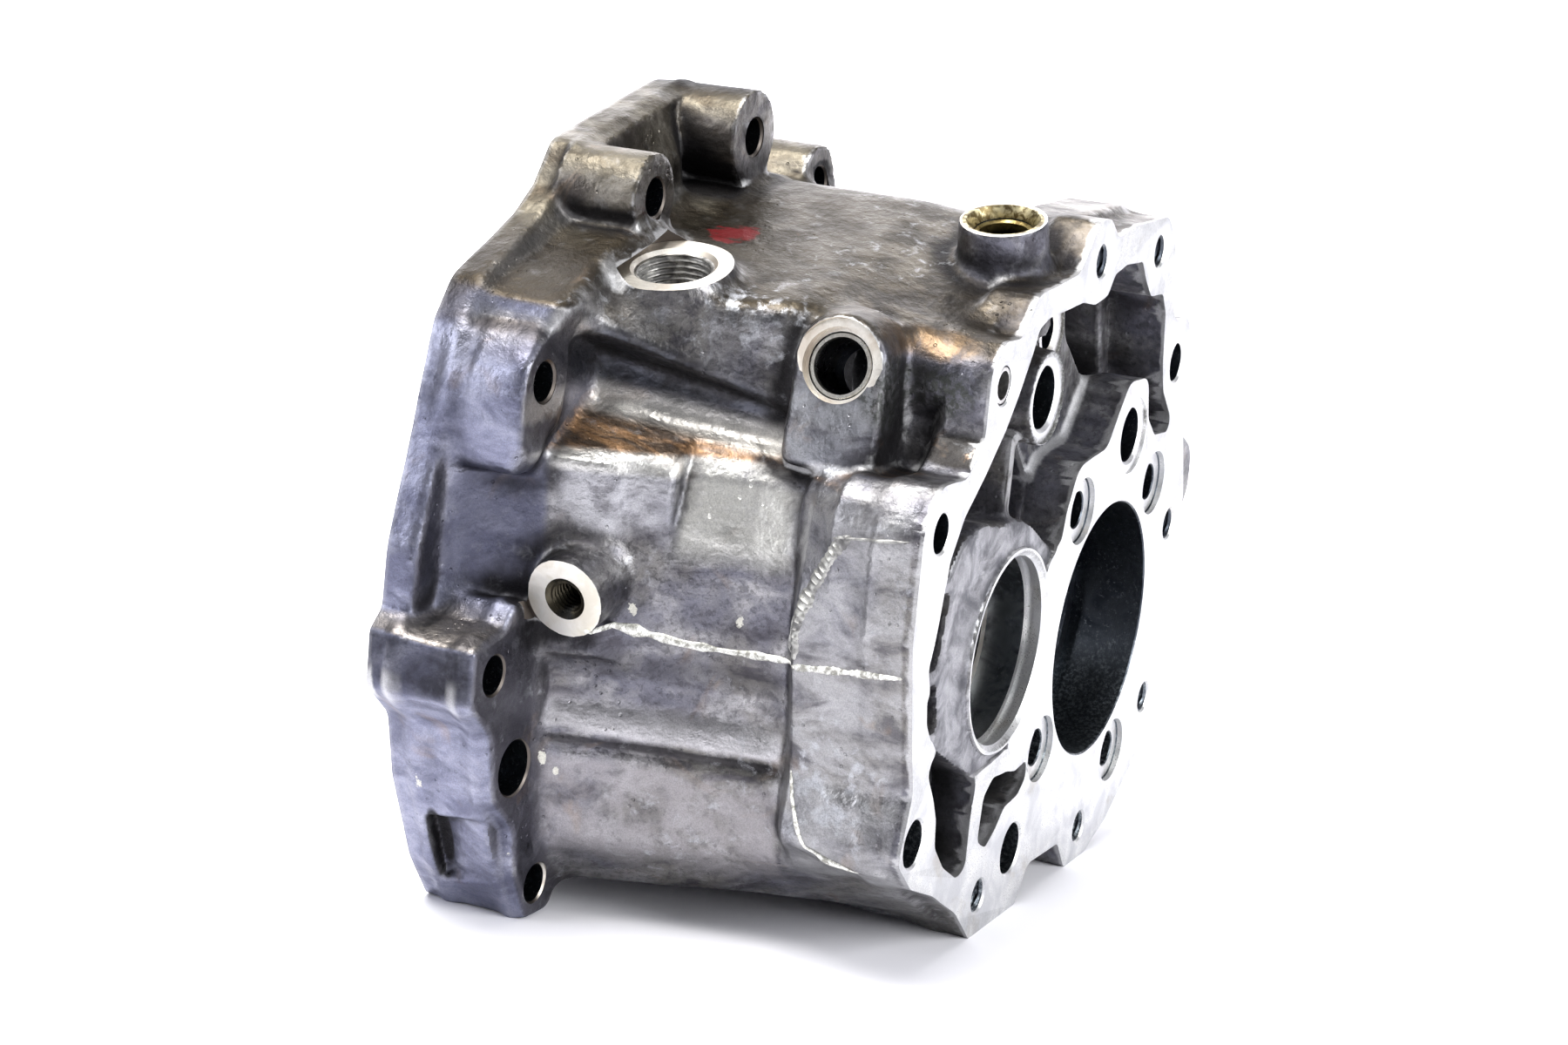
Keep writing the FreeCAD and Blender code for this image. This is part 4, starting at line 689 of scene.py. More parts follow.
def cast_material():
    m, nt, b, P = tree("cast_aluminium")
    x, y, z = sep(nt, P)
    big = noise(nt, P, 0.028, 4, 0.6, 0.4)
    mid = noise(nt, P, 0.11, 5, 0.62, 0.5)
    swirl = noise(nt, stretch(nt, P, 0.55, 1.0, 1.0), 0.12, 7, 0.60, 0.55)
    scuff0 = noise(nt, P, 0.55, 5, 0.7, 0.3)
    streak0 = noise(nt, stretch(nt, P, 0.30, 1.0, 1.0), 0.14, 4, 0.6, 0.8)
    fine = noise(nt, P, 0.9, 3, 0.6)
    grain = noise(nt, P, 3.2, 2, 0.6)
    geo = nt.nodes.new("ShaderNodeNewGeometry"); nx, ny, nz = sep(nt, geo.outputs["Normal"])
    cav = attr(nt, "cavity"); edg = attr(nt, "edge"); inn = attr(nt, "inner")
    # grey that wanders between blue-violet, neutral and a yellow-brown film
    c = mix(nt, ramp(nt, big, 0.36, 0.64), rgb(0.165, 0.165, 0.200), rgb(0.190, 0.182, 0.172))
    c = mix(nt, mul(nt, ramp(nt, swirl, 0.47, 0.70), 0.90), c, rgb(0.400, 0.395, 0.405))
    c = mix(nt, mul(nt, ramp(nt, swirl, 0.49, 0.33), 0.85), c, rgb(0.066, 0.062, 0.074))
    c = mix(nt, mul(nt, ramp(nt, scuff0, 0.50, 0.60), 0.45), c, rgb(0.050, 0.048, 0.056))
    # the flank of the lower ears is bluer
    c = mix(nt, mul(nt, ramp(nt, x, -86.0, -88.0), mul(nt, ramp(nt, y, -112.0, -122.0), 0.72)), c, mix(nt, ramp(nt, swirl, 0.38, 0.62), rgb(0.172, 0.182, 0.272), rgb(0.320, 0.336, 0.460)))
    # painted shade: cast faces of the ears and ledges that face the end plate are painted dark
    front = mul(nt, mul(nt, ramp(nt, nx, 0.60, 0.92), ramp(nt, x, -80.0, -84.0)), ramp(nt, z, 84.0, 76.0))
    c = mix(nt, mul(nt, front, 0.75), c, rgb(0.084, 0.080, 0.092))
    # painted shade, tinted violet, in the recessed panel between the upper and lower ears
    painted_pocket_shade = around(nt, (x, y, z), (-97.0, -139.0, 28.0), (13.0, 16.0, 27.0))
    c = mix(nt, mul(nt, ramp(nt, painted_pocket_shade, 0.02, 0.5), 0.75), c, rgb(0.070, 0.072, 0.108))
    # brown lit film on the ledge over the lower ears, and painted shade: the deep end of the wedge pocket is painted
    # black
    ledge = mul(nt, mul(nt, ramp(nt, nz, 0.35, 0.70), ramp(nt, x, -86.5, -88.5)), mul(nt, ramp(nt, z, -16.0, -10.0), ramp(nt, z, 16.0, 10.0)))
    ledge = mul(nt, ledge, ramp(nt, y, -112.0, -118.0))
    c = mix(nt, mul(nt, ledge, 0.85), c, mix(nt, ramp(nt, mid, 0.38, 0.60), rgb(0.100, 0.088, 0.074), rgb(0.330, 0.296, 0.256)))
    painted_slot_shade = around(nt, (x, y, z), (-104.8, -141.5, -44.5), (2.6, 9.0, 11.5))
    c = mix(nt, mul(nt, ramp(nt, painted_slot_shade, 0.02, 0.35), 0.92), c, rgb(0.016, 0.016, 0.018))
    # brown film on the deck and other upward faces
    up = mul(nt, ramp(nt, nz, 0.25, 0.80), ramp(nt, z, 64.0, 84.0))
    c = mix(nt, mul(nt, up, 0.88), c, mix(nt, ramp(nt, mid, 0.38, 0.62), rgb(0.038, 0.030, 0.019), rgb(0.098, 0.079, 0.052)))
    c = mix(nt, mul(nt, mul(nt, up, ramp(nt, x, -30.0, -58.0)), 0.72), c, rgb(0.034, 0.025, 0.013))
    up2 = mul(nt, ramp(nt, x, -84.0, -88.0), ramp(nt, z, 90.0, 100.0))
    c = mix(nt, mul(nt, up2, 0.75), c, mix(nt, ramp(nt, swirl, 0.40, 0.64), rgb(0.070, 0.058, 0.042), rgb(0.185, 0.165, 0.128)))
    # painted light: a pale patch on the near wall below the shelf
    painted_wall_light = around(nt, (x, y, z), (-74.0, -126.0, 41.0), (17.0, 16.0, 11.0))
    c = mix(nt, mul(nt, ramp(nt, painted_wall_light, 0.02, 0.6), ramp(nt, swirl, 0.36, 0.56, 0.25, 0.85)), c, rgb(0.520, 0.520, 0.550))
    # paler swirls on the near face of the end bulge
    bu = mul(nt, mul(nt, ramp(nt, x, -33.5, -31.0), ramp(nt, x, -2.0, -3.0)), mul(nt, ramp(nt, y, -104.0, -109.0), ramp(nt, z, 52.0, 46.0)))
    c = mix(nt, mul(nt, bu, ramp(nt, swirl, 0.36, 0.58, 0.15, 0.60)), c, rgb(0.430, 0.430, 0.440))
    # painted light and shade along the cove: a painted highlight streak over painted shade, and the groove below it
    # painted black as shade
    wob = mul(nt, math_(nt, "SUBTRACT", streak0, 0.5), 2.6)
    zz = math_(nt, "ADD", math_(nt, "ADD", z, wob), mul(nt, math_(nt, "ADD", x, 56.0), 0.035))
    nearw = mul(nt, ramp(nt, y, -100.0, -106.0), mul(nt, ramp(nt, x, -86.5, -84.0), ramp(nt, x, -33.0, -35.0)))
    painted_cove_highlight = mul(nt, ramp(nt, zz, -16.6, -14.6), ramp(nt, zz, -6.0, -13.0))
    painted_cove_shade = math_(nt, "MAXIMUM", mul(nt, ramp(nt, zz, -20.2, -18.8), ramp(nt, zz, -16.4, -17.4)), mul(nt, mul(nt, ramp(nt, zz, -3.0, 0.0), ramp(nt, zz, 6.0, 3.0)), 0.55))
    c = mix(nt, mul(nt, mul(nt, painted_cove_highlight, nearw), 0.85), c, rgb(0.620, 0.610, 0.630))
    c = mix(nt, mul(nt, mul(nt, painted_cove_shade, nearw), 0.85), c, rgb(0.030, 0.028, 0.032))
    # painted highlight on the lower panel below the groove
    painted_low_highlight = mul(nt, mul(nt, ramp(nt, zz, -21.0, -24.0), ramp(nt, z, -50.0, -44.0)), nearw)
    c = mix(nt, mul(nt, painted_low_highlight, ramp(nt, mid, 0.34, 0.58, 0.15, 0.70)), c, rgb(0.350, 0.335, 0.350))
    # oil stains along the shelf, drawn out along the case
    streak = noise(nt, stretch(nt, P, 0.22, 1.0, 1.0), 0.30, 4, 0.6, 0.6)
    q = math_(nt, "ADD", z, mul(nt, math_(nt, "ADD", x, 87.0), 0.131))
    shelf = mul(nt, ramp(nt, z, 48.6, 50.6), ramp(nt, q, 59.0, 57.0))
    shelf = mul(nt, shelf, ramp(nt, y, -91.0, -97.0))
    shelf = mul(nt, shelf, ramp(nt, nz, 0.15, 0.60))
    shelf = mul(nt, shelf, ramp(nt, x, -92.0, -86.0))
    c = mix(nt, mul(nt, shelf, 0.85), c, mix(nt, ramp(nt, streak, 0.38, 0.62), rgb(0.110, 0.072, 0.045), rgb(0.430, 0.240, 0.110)))
    # painted highlights: a cream-white highlight on the fillet where the shelf turns up into the wall, and a pale one
    # along the shelf's rounded outer edge
    painted_fillet_highlight = mul(nt, ramp(nt, math_(nt, "ADD", q, mul(nt, math_(nt, "SUBTRACT", streak, 0.5), 5.0)), 56.0, 58.5), ramp(nt, q, 65.5, 60.5))
    painted_fillet_highlight = mul(nt, mul(nt, painted_fillet_highlight, ramp(nt, y, -88.0, -94.0)), mul(nt, ramp(nt, x, -38.0, -48.0), ramp(nt, x, -88.0, -84.0)))
    c = mix(nt, mul(nt, painted_fillet_highlight, 0.92), c, rgb(0.920, 0.890, 0.840))
    painted_edge_highlight = mul(nt, mul(nt, ramp(nt, z, 45.0, 47.0), ramp(nt, z, 51.0, 49.2)), mul(nt, ramp(nt, y, -106.0, -110.0), mul(nt, ramp(nt, x, -88.0, -85.0), ramp(nt, x, -36.0, -44.0))))
    c = mix(nt, mul(nt, painted_edge_highlight, ramp(nt, mid, 0.34, 0.54, 0.30, 0.90)), c, rgb(0.840, 0.830, 0.800))
    # painted highlight: the panel that leans inward is painted pale cream
    painted_panel_highlight = mul(nt, mul(nt, ramp(nt, z, 26.0, 33.0), ramp(nt, z, 47.5, 44.5)), mul(nt, ramp(nt, x, -62.0, -59.0), ramp(nt, x, -33.0, -40.0)))
    painted_panel_highlight = mul(nt, painted_panel_highlight, ramp(nt, y, -108.0, -111.0))
    c = mix(nt, mul(nt, painted_panel_highlight, ramp(nt, mid, 0.30, 0.55, 0.60, 0.95)), c, rgb(0.900, 0.890, 0.840))
    # painted shade, near black, under the overhang beside the shelf
    lean = math_(nt, "ADD", z, mul(nt, math_(nt, "ADD", x, 87.0), 0.369))
    painted_overhang_shade = mul(nt, ramp(nt, lean, 82.5, 78.0), ramp(nt, q, 61.5, 66.0))
    painted_overhang_shade = mul(nt, mul(nt, painted_overhang_shade, ramp(nt, y, -86.0, -92.0)), mul(nt, ramp(nt, y, -130.0, -124.0), ramp(nt, x, -92.0, -88.0)))
    painted_overhang_shade = mul(nt, painted_overhang_shade, ramp(nt, x, -40.0, -52.0))
    c = mix(nt, mul(nt, painted_overhang_shade, 0.90), c, mix(nt, ramp(nt, mid, 0.42, 0.64), rgb(0.018, 0.018, 0.022), rgb(0.060, 0.064, 0.080)))
    # lighter mottled grey on the arched pad
    pad = around(nt, (x, y, z), (-31.0, -114.0, 64.0), (12.0, 9.0, 17.0))
    c = mix(nt, mul(nt, ramp(nt, pad, 0.02, 0.30), ramp(nt, swirl, 0.36, 0.56, 0.15, 0.70)), c, rgb(0.300, 0.310, 0.330))
    # mottled dark skin on the block beside the end plate
    blk = around(nt, (x, y, z), (-13.0, -106.0, 70.0), (17.0, 12.0, 11.0))
    c = mix(nt, mul(nt, ramp(nt, blk, 0.05, 0.45), ramp(nt, scuff0, 0.40, 0.56, 0.25, 0.95)), c, rgb(0.072, 0.076, 0.070))
    # painted shade in the pocket under the block, with some brown stain
    pocket_shade_and_stain = around(nt, (x, y, z), (-5.0, -107.0, 60.0), (17.0, 12.0, 5.5))
    c = mix(nt, mul(nt, ramp(nt, pocket_shade_and_stain, 0.02, 0.40), 0.94), c, mix(nt, ramp(nt, mid, 0.48, 0.60), rgb(0.018, 0.016, 0.014), rgb(0.200, 0.110, 0.050)))
    # dark and brown streaks around the top of the end bulge, below the block
    bt = ramp(nt, around(nt, (x, y, z), (-16.0, -109.0, 47.5), (16.0, 13.0, 8.5)), 0.02, 0.35)
    c = mix(nt, mul(nt, bt, ramp(nt, mid, 0.34, 0.56, 0.40, 0.92)), c, mix(nt, ramp(nt, streak, 0.44, 0.62), rgb(0.070, 0.062, 0.056), rgb(0.250, 0.160, 0.095)))
    # orange-brown film on the near edge of the deck by the end plate and in places
    e2 = around(nt, (x, y, z), (-13.0, -101.0, 84.0), (15.0, 12.0, 8.0))
    c = mix(nt, mul(nt, ramp(nt, e2, 0.05, 0.6), ramp(nt, mid, 0.36, 0.56, 0.2, 0.9)), c, rgb(0.190, 0.125, 0.072))
    film = noise(nt, P, 0.045, 3, 0.6, 1.2)
    c = mix(nt, mul(nt, ramp(nt, film, 0.62, 0.74), 0.30), c, rgb(0.300, 0.215, 0.150))
    # dirt and painted shade that gather in corners and hollows, from the cavity measure
    dirt_and_painted_shade = mul(nt, ramp(nt, math_(nt, "ADD", cav, mul(nt, math_(nt, "SUBTRACT", mid, 0.5), 0.45)), 0.93, 0.36), 0.94)
    dirt_and_painted_shade = mul(nt, dirt_and_painted_shade, math_(nt, "SUBTRACT", 1.0, mul(nt, mul(nt, ramp(nt, inn, 0.06, 0.20), ramp(nt, x, -26.0, -14.0)), 0.55)))
    dirt_and_painted_shade = mul(nt, dirt_and_painted_shade, math_(nt, "SUBTRACT", 1.0, mul(nt, painted_fillet_highlight, 0.85)))
    c = mix(nt, dirt_and_painted_shade, c, rgb(0.016, 0.015, 0.017))
    # scuffed light patches, and bright worn metal on edges, which is also painted edge highlight
    scuff = noise(nt, P, 0.24, 6, 0.66, 0.35)
    bl = around(nt, (x, y, z), (-20.0, -120.0, -18.0), (16.0, 16.0, 20.0))
    bw = around(nt, (x, y, z), (-56.0, -108.0, 83.0), (16.0, 12.0, 10.0))
    where = math_(nt, "ADD", ramp(nt, big, 0.42, 0.64, 0.10, 0.75), math_(nt, "ADD", bl, bw), clamp=True)
    calm = mul(nt, ramp(nt, x, -86.0, -89.0), ramp(nt, y, -104.0, -112.0))
    calm = math_(nt, "MAXIMUM", calm, mul(nt, ramp(nt, x, -86.0, -89.0), ramp(nt, z, 84.0, 90.0)))
    free = math_(nt, "SUBTRACT", 1.0, math_(nt, "MAXIMUM", math_(nt, "MAXIMUM", painted_overhang_shade, mul(nt, bt, 0.75)), mul(nt, calm, 0.75)))
    where = mul(nt, where, free)
    c = mix(nt, mul(nt, ramp(nt, math_(nt, "ADD", scuff, mul(nt, math_(nt, "ADD", bl, bw), 0.09)), 0.54, 0.74), where), c, rgb(0.470, 0.480, 0.510))
    edge_wear_and_highlight = mul(nt, ramp(nt, math_(nt, "ADD", edg, mul(nt, math_(nt, "SUBTRACT", mid, 0.5), 0.90)), 0.26, 0.56), 0.62)
    edge_wear_and_highlight = mul(nt, edge_wear_and_highlight, free)
    lipb = mul(nt, mul(nt, ramp(nt, x, -90.0, -92.0), ramp(nt, z, -9.0, -6.0)), mul(nt, ramp(nt, z, 2.0, -2.0), ramp(nt, edg, 0.10, 0.40)))
    lipb = mul(nt, lipb, ramp(nt, y, -120.0, -128.0))
    edge_wear_and_highlight = math_(nt, "MAXIMUM", edge_wear_and_highlight, mul(nt, lipb, 0.85))
    c = mix(nt, edge_wear_and_highlight, c, rgb(0.640, 0.640, 0.650))
    spot = around(nt, (x, y, z), (-45.8, -118.5, 15.2), (1.3, 6.0, 2.1))
    for q, rr in (((-68.2, -126.0, 15.2), (1.2, 6.0, 2.0)), ((-85.6, -129.0, -22.2), (1.0, 5.0, 2.6)), ((-83.0, -128.0, -25.5), (0.9, 5.0, 1.4)), ((-88.5, -141.0, -44.0), (1.6, 5.0, 3.0)), ((-106.5, -150.5, -29.0), (1.6, 4.0, 3.4))):
        spot = math_(nt, "MAXIMUM", spot, around(nt, (x, y, z), q, rr))
    near_spot = ramp(nt, spot, 0.01, 0.15)
    spot = ramp(nt, math_(nt, "ADD", spot, mul(nt, math_(nt, "SUBTRACT", noise(nt, P, 1.1, 3, 0.7), 0.5), 1.8)), 0.40, 0.66)
    c = mix(nt, mul(nt, mul(nt, spot, near_spot), 0.85), c, rgb(0.66, 0.65, 0.58))
    # painted shade: everything behind the outer skin is painted dark, deeper in more so
    flat = mul(nt, ramp(nt, nx, 0.5, 0.8), ramp(nt, x, -3.4, -2.4))
    painted_inner_shade = mul(nt, mul(nt, ramp(nt, inn, 0.06, 0.20), ramp(nt, x, -0.4, -2.6)), math_(nt, "SUBTRACT", 1.0, flat))
    c = mix(nt, mul(nt, painted_inner_shade, ramp(nt, x, -11.0, -34.0, 0.0, 0.96)), c, rgb(0.010, 0.010, 0.011))
    painted_low_inner_shade = mul(nt, painted_inner_shade, mul(nt, ramp(nt, z, 6.0, -6.0), ramp(nt, x, -2.0, -7.0)))
    c = mix(nt, mul(nt, painted_low_inner_shade, 0.80), c, rgb(0.018, 0.018, 0.018))
    # the web face just inside the end face is a lighter, granular grey
    web = mul(nt, ramp(nt, inn, 0.10, 0.22), mul(nt, ramp(nt, x, -2.6, -1.9), ramp(nt, nx, 0.5, 0.8)))
    c = mix(nt, mul(nt, web, 0.85), c, mix(nt, ramp(nt, mid, 0.36, 0.64), rgb(0.150, 0.152, 0.170), rgb(0.400, 0.400, 0.420)))
    c = mix(nt, mul(nt, ramp(nt, grain, 0.62, 0.36), 0.22), c, rgb(0.05, 0.05, 0.05))
    # a dab of red paint on the deck
    near_dab = around(nt, (x, y, z), (-76.0, -75.0, 94.7), (8.0, 7.0, 8.0))
    dab = near_dab
    dab = ramp(nt, math_(nt, "ADD", dab, mul(nt, math_(nt, "SUBTRACT", noise(nt, stretch(nt, P, 0.5, 1.0, 1.0), 0.26, 4, 0.7), 0.5), 2.6)), 0.36, 0.62)
    dab = mul(nt, mul(nt, dab, ramp(nt, near_dab, 0.01, 0.12)), ramp(nt, z, 88.0, 91.0))
    c = mix(nt, mul(nt, dab, 0.97), c, rgb(0.150, 0.002, 0.004))
    nt.links.new(math_(nt, "SUBTRACT", 1.0, mul(nt, dab, 0.45)), b.inputs["Metallic"])
    nt.links.new(c, b.inputs["Base Color"])
    r = ramp(nt, mid, 0.30, 0.72, 0.52, 0.29, False)
    r = math_(nt, "ADD", r, mul(nt, dirt_and_painted_shade, 0.22))
    r = math_(nt, "ADD", r, mul(nt, painted_inner_shade, 0.25))
    r = math_(nt, "ADD", r, mul(nt, math_(nt, "SUBTRACT", grain, 0.5), 0.12), clamp=True)
    nt.links.new(r, b.inputs["Roughness"])
    pits = ramp(nt, vor(nt, P, 0.42), 0.10, 0.20)
    few = ramp(nt, noise(nt, P, 0.09, 2), 0.55, 0.62)
    pits = math_(nt, "SUBTRACT", 1.0, mul(nt, math_(nt, "SUBTRACT", 1.0, pits), few))
    bump(nt, b, (noise(nt, P, 0.11, 3, 0.5), 1.8, 0.30), (noise(nt, P, 0.30, 4, 0.55), 0.75, 0.38), (fine, 0.22, 0.45), (grain, 0.06, 0.45), (pits, 0.40, 0.65))
    return m


def milled_material():
    m, nt, b, P = tree("milled_aluminium")
    x, y, z = sep(nt, P)
    fine = noise(nt, P, 1.4, 4, 0.65); mid = noise(nt, P, 0.10, 5, 0.6, 0.5); dots = noise(nt, P, 2.6, 3, 0.7)
    # arcs left by the face mill, 1.4 mm apart
    dy = math_(nt, "ADD", y, 330.0); dz = math_(nt, "SUBTRACT", z, 60.0)
    rad = math_(nt, "SQRT", math_(nt, "ADD", mul(nt, dy, dy), mul(nt, dz, dz)))
    arcs = math_(nt, "SINE", mul(nt, rad, 4.6))
    c = mix(nt, ramp(nt, mid, 0.34, 0.68), rgb(0.60, 0.605, 0.62), rgb(0.84, 0.84, 0.83))
    edg = attr(nt, "edge")
    speck = ramp(nt, dots, 0.560, 0.64)
    c = mix(nt, mul(nt, speck, ramp(nt, mid, 0.44, 0.62, 0.20, 0.92)), c, rgb(0.17, 0.165, 0.16))
    stain = ramp(nt, noise(nt, P, 0.06, 5, 0.65, 1.0), 0.57, 0.70)
    c = mix(nt, mul(nt, stain, 0.40), c, rgb(0.46, 0.42, 0.36))
    # a thin grey line of burr and grime follows the edges of the faces
    c = mix(nt, mul(nt, ramp(nt, edg, 0.30, 0.75), ramp(nt, fine, 0.40, 0.56, 0.30, 0.85)), c, rgb(0.20, 0.20, 0.19))
    # boss tops keep a cream film
    top = ramp(nt, x, -8.5, -10.5)
    c = mix(nt, mul(nt, top, 0.75), c, mix(nt, ramp(nt, mid, 0.36, 0.62), rgb(0.62, 0.54, 0.44), rgb(0.90, 0.85, 0.76)))
    # painted light: the spot-face ring of the side boss faces down and is painted brighter
    painted_s2_ring_light = around(nt, (x, y, z), tuple(S2_C), (10.2, 10.2, 10.2))
    c = mix(nt, mul(nt, ramp(nt, painted_s2_ring_light, 0.0, 0.06), 0.85), c, mix(nt, ramp(nt, mid, 0.36, 0.62), rgb(0.80, 0.76, 0.66), rgb(1.0, 0.98, 0.92)))
    # the bell face is painted a darker grey
    c = mix(nt, mul(nt, ramp(nt, x, -104.0, -110.0), 0.85), c, mix(nt, ramp(nt, mid, 0.34, 0.66), rgb(0.155, 0.155, 0.160), rgb(0.330, 0.325, 0.315)))
    # where a spot face runs out into the skin beside it, the skin's colour goes on
    t1 = mul(nt, mul(nt, ramp(nt, z, 76.0, 80.0), ramp(nt, x, -58.0, -61.0)), mul(nt, ramp(nt, around(nt, (x, y, z), tuple(T1_C), (14.12, 14.12, 14.12)), 0.012, 0.0), ramp(nt, x, -104.0, -100.0)))
    t2 = mul(nt, mul(nt, ramp(nt, y, -122.0, -125.0), ramp(nt, x, -62.0, -64.0)), mul(nt, ramp(nt, around(nt, (x, y, z), tuple(S2_C), (9.6, 9.6, 9.6)), 0.06, 0.0), ramp(nt, x, -104.0, -100.0)))
    c = mix(nt, math_(nt, "MAXIMUM", t1, t2), c, rgb(0.115, 0.100, 0.090))
    # the countersunk mouth of the top boss is brassy with dark oil
    br = around(nt, (x, y, z), tuple(T2_C), (9.9, 9.9, 6.0))
    c = mix(nt, ramp(nt, br, 0.02, 0.10), c, mix(nt, ramp(nt, noise(nt, P, 0.45, 4, 0.6, 0.6), 0.42, 0.60), rgb(0.150, 0.115, 0.055), rgb(0.620, 0.550, 0.340)))
    nt.links.new(c, b.inputs["Base Color"])
    nt.links.new(ramp(nt, mid, 0.3, 0.7, 0.50, 0.36, False), b.inputs["Roughness"])
    bump(nt, b, (arcs, 0.012, 0.55), (fine, 0.05, 0.30))
    return m


def bored_painted_shade_material():
    m, nt, b, P = tree("bored_aluminium_painted_shade")
    mid = noise(nt, P, 0.12, 5, 0.6, 0.5); fine = noise(nt, P, 1.0, 5, 0.75)
    x, y, z = sep(nt, P)
    rings = math_(nt, "SINE", mul(nt, x, 13.0))
    # painted shade: bored surfaces, down in the holes, are painted near black, with paler specks
    c = mix(nt, ramp(nt, mid, 0.35, 0.68), rgb(0.020, 0.024, 0.032), rgb(0.075, 0.085, 0.100))
    c = mix(nt, mul(nt, ramp(nt, fine, 0.56, 0.68), 0.55), c, rgb(0.30, 0.32, 0.34))
    # painted light: the small bore is painted a lighter grey
    small_bore_painted_light = around(nt, (x, y, z), (-8.0, -65.0, 7.0), (30.0, 27.0, 27.0))
    c = mix(nt, mul(nt, ramp(nt, small_bore_painted_light, 0.02, 0.10), ramp(nt, mid, 0.36, 0.60, 0.15, 0.75)), c, rgb(0.210, 0.230, 0.250))
    # painted shade, near black with a brown tint, deep in the bore of the side boss
    sh = ramp(nt, around(nt, (x, y, z), (S2_C[0], S2_C[1] + 7.0, S2_C[2] + 1.8), (7.0, 18.0, 9.0)), 0.02, 0.12)
    c = mix(nt, mul(nt, sh, 0.88), c, mix(nt, ramp(nt, mid, 0.42, 0.60), rgb(0.012, 0.011, 0.009), rgb(0.060, 0.050, 0.030)))
    # painted light on the lower bore walls near the end face
    painted_low_bore_light = mul(nt, ramp(nt, x, -24.0, -18.0), ramp(nt, z, -6.0, -26.0))
    c = mix(nt, mul(nt, painted_low_bore_light, ramp(nt, fine, 0.44, 0.62, 0.10, 0.85)), c, rgb(0.260, 0.290, 0.310))
    nt.links.new(c, b.inputs["Base Color"])
    nt.links.new(ramp(nt, mid, 0.3, 0.7, 0.46, 0.28, False), b.inputs["Roughness"])
    bump(nt, b, (rings, 0.010, 0.6), (fine, 0.05, 0.3))
    return m


def seam_material():
    m, nt, b, P = tree("flash_bright", 0.55)
    mid = noise(nt, P, 0.5, 4, 0.65); fine = noise(nt, P, 2.4, 3, 0.6)
    c = mix(nt, ramp(nt, mid, 0.38, 0.56), rgb(0.34, 0.335, 0.30), rgb(0.90, 0.90, 0.85))
    c = mix(nt, mul(nt, ramp(nt, fine, 0.58, 0.66), 0.6), c, rgb(0.22, 0.21, 0.18))
    nt.links.new(c, b.inputs["Base Color"])
    nt.links.new(ramp(nt, mid, 0.3, 0.7, 0.62, 0.42, False), b.inputs["Roughness"])
    bump(nt, b, (mid, 0.25, 0.5), (fine, 0.08, 0.5))
    return m


def ridge_material():
    m, nt, b, P = tree("core_seam_grey", 0.8)
    mid = noise(nt, P, 0.20, 5, 0.65); fine = noise(nt, P, 1.6, 3, 0.6)
    c = mix(nt, ramp(nt, mid, 0.38, 0.60), rgb(0.170, 0.168, 0.168), rgb(0.460, 0.458, 0.435))
    c = mix(nt, mul(nt, ramp(nt, fine, 0.56, 0.66), 0.5), c, rgb(0.100, 0.096, 0.096))
    nt.links.new(c, b.inputs["Base Color"])
    nt.links.new(ramp(nt, mid, 0.3, 0.7, 0.56, 0.38, False), b.inputs["Roughness"])
    bump(nt, b, (mid, 0.25, 0.4), (fine, 0.08, 0.5))
    return m


def threaded_material():
    m, nt, b, P = tree("thread_grey", 0.8)
    mid = noise(nt, P, 0.25, 4, 0.6, 0.4); fine = noise(nt, P, 1.8, 4, 0.7)
    c = mix(nt, ramp(nt, mid, 0.36, 0.62), rgb(0.150, 0.145, 0.140), rgb(0.520, 0.510, 0.490))
    c = mix(nt, mul(nt, ramp(nt, fine, 0.56, 0.66), 0.6), c, rgb(0.080, 0.074, 0.066))
    nt.links.new(c, b.inputs["Base Color"])
    nt.links.new(ramp(nt, mid, 0.3, 0.7, 0.50, 0.34, False), b.inputs["Roughness"])
    bump(nt, b, (fine, 0.06, 0.4))
    return m


def fitted_material(name, light, dark, rough, scale=9.0, mouth=None, start=-0.5):
    m, nt, b, P = tree(name)
    mid = noise(nt, P, 0.35, 4, 0.6, 0.4); fine = noise(nt, P, 2.2, 4, 0.7)
    c = mix(nt, ramp(nt, mid, 0.32, 0.64), rgb(*dark), rgb(*light))
    c = mix(nt, math_(nt, "MULTIPLY", ramp(nt, fine, 0.58, 0.68), 0.6), c, rgb(dark[0] * 0.35, dark[1] * 0.33, dark[2] * 0.3))
    if mouth:
        # painted shade: the bore of the bush is painted near black below its mouth
        x, y, z = sep(nt, P)
        (_, my, mz), (_, ay, az) = mouth
        d = math_(nt, "ADD", mul(nt, math_(nt, "SUBTRACT", y, my), ay), mul(nt, math_(nt, "SUBTRACT", z, mz), az))
        c = mix(nt, ramp(nt, d, start, start - 2.1, 0.0, 0.97), c, rgb(0.010, 0.010, 0.010))
    nt.links.new(c, b.inputs["Base Color"])
    nt.links.new(ramp(nt, mid, 0.3, 0.7, rough + 0.10, rough - 0.06, False), b.inputs["Roughness"])
    turn = math_(nt, "SINE", math_(nt, "MULTIPLY", noise(nt, P, 0.9, 1), 14.0 * scale / 9.0))
    bump(nt, b, (fine, 0.05, 0.4), (turn, 0.008, 0.4))
    return m


CAST, MILLED, BORED_PAINTED_SHADE, SEAM = cast_material(), milled_material(), bored_painted_shade_material(), seam_material()
MATS = [CAST, MILLED, BORED_PAINTED_SHADE]

# ------------------------------------------------------- the casting
casting = field_mesh("gearbox_casting", 168000)
casting.data.materials.clear()
for m_ in MATS: casting.data.materials.append(m_)

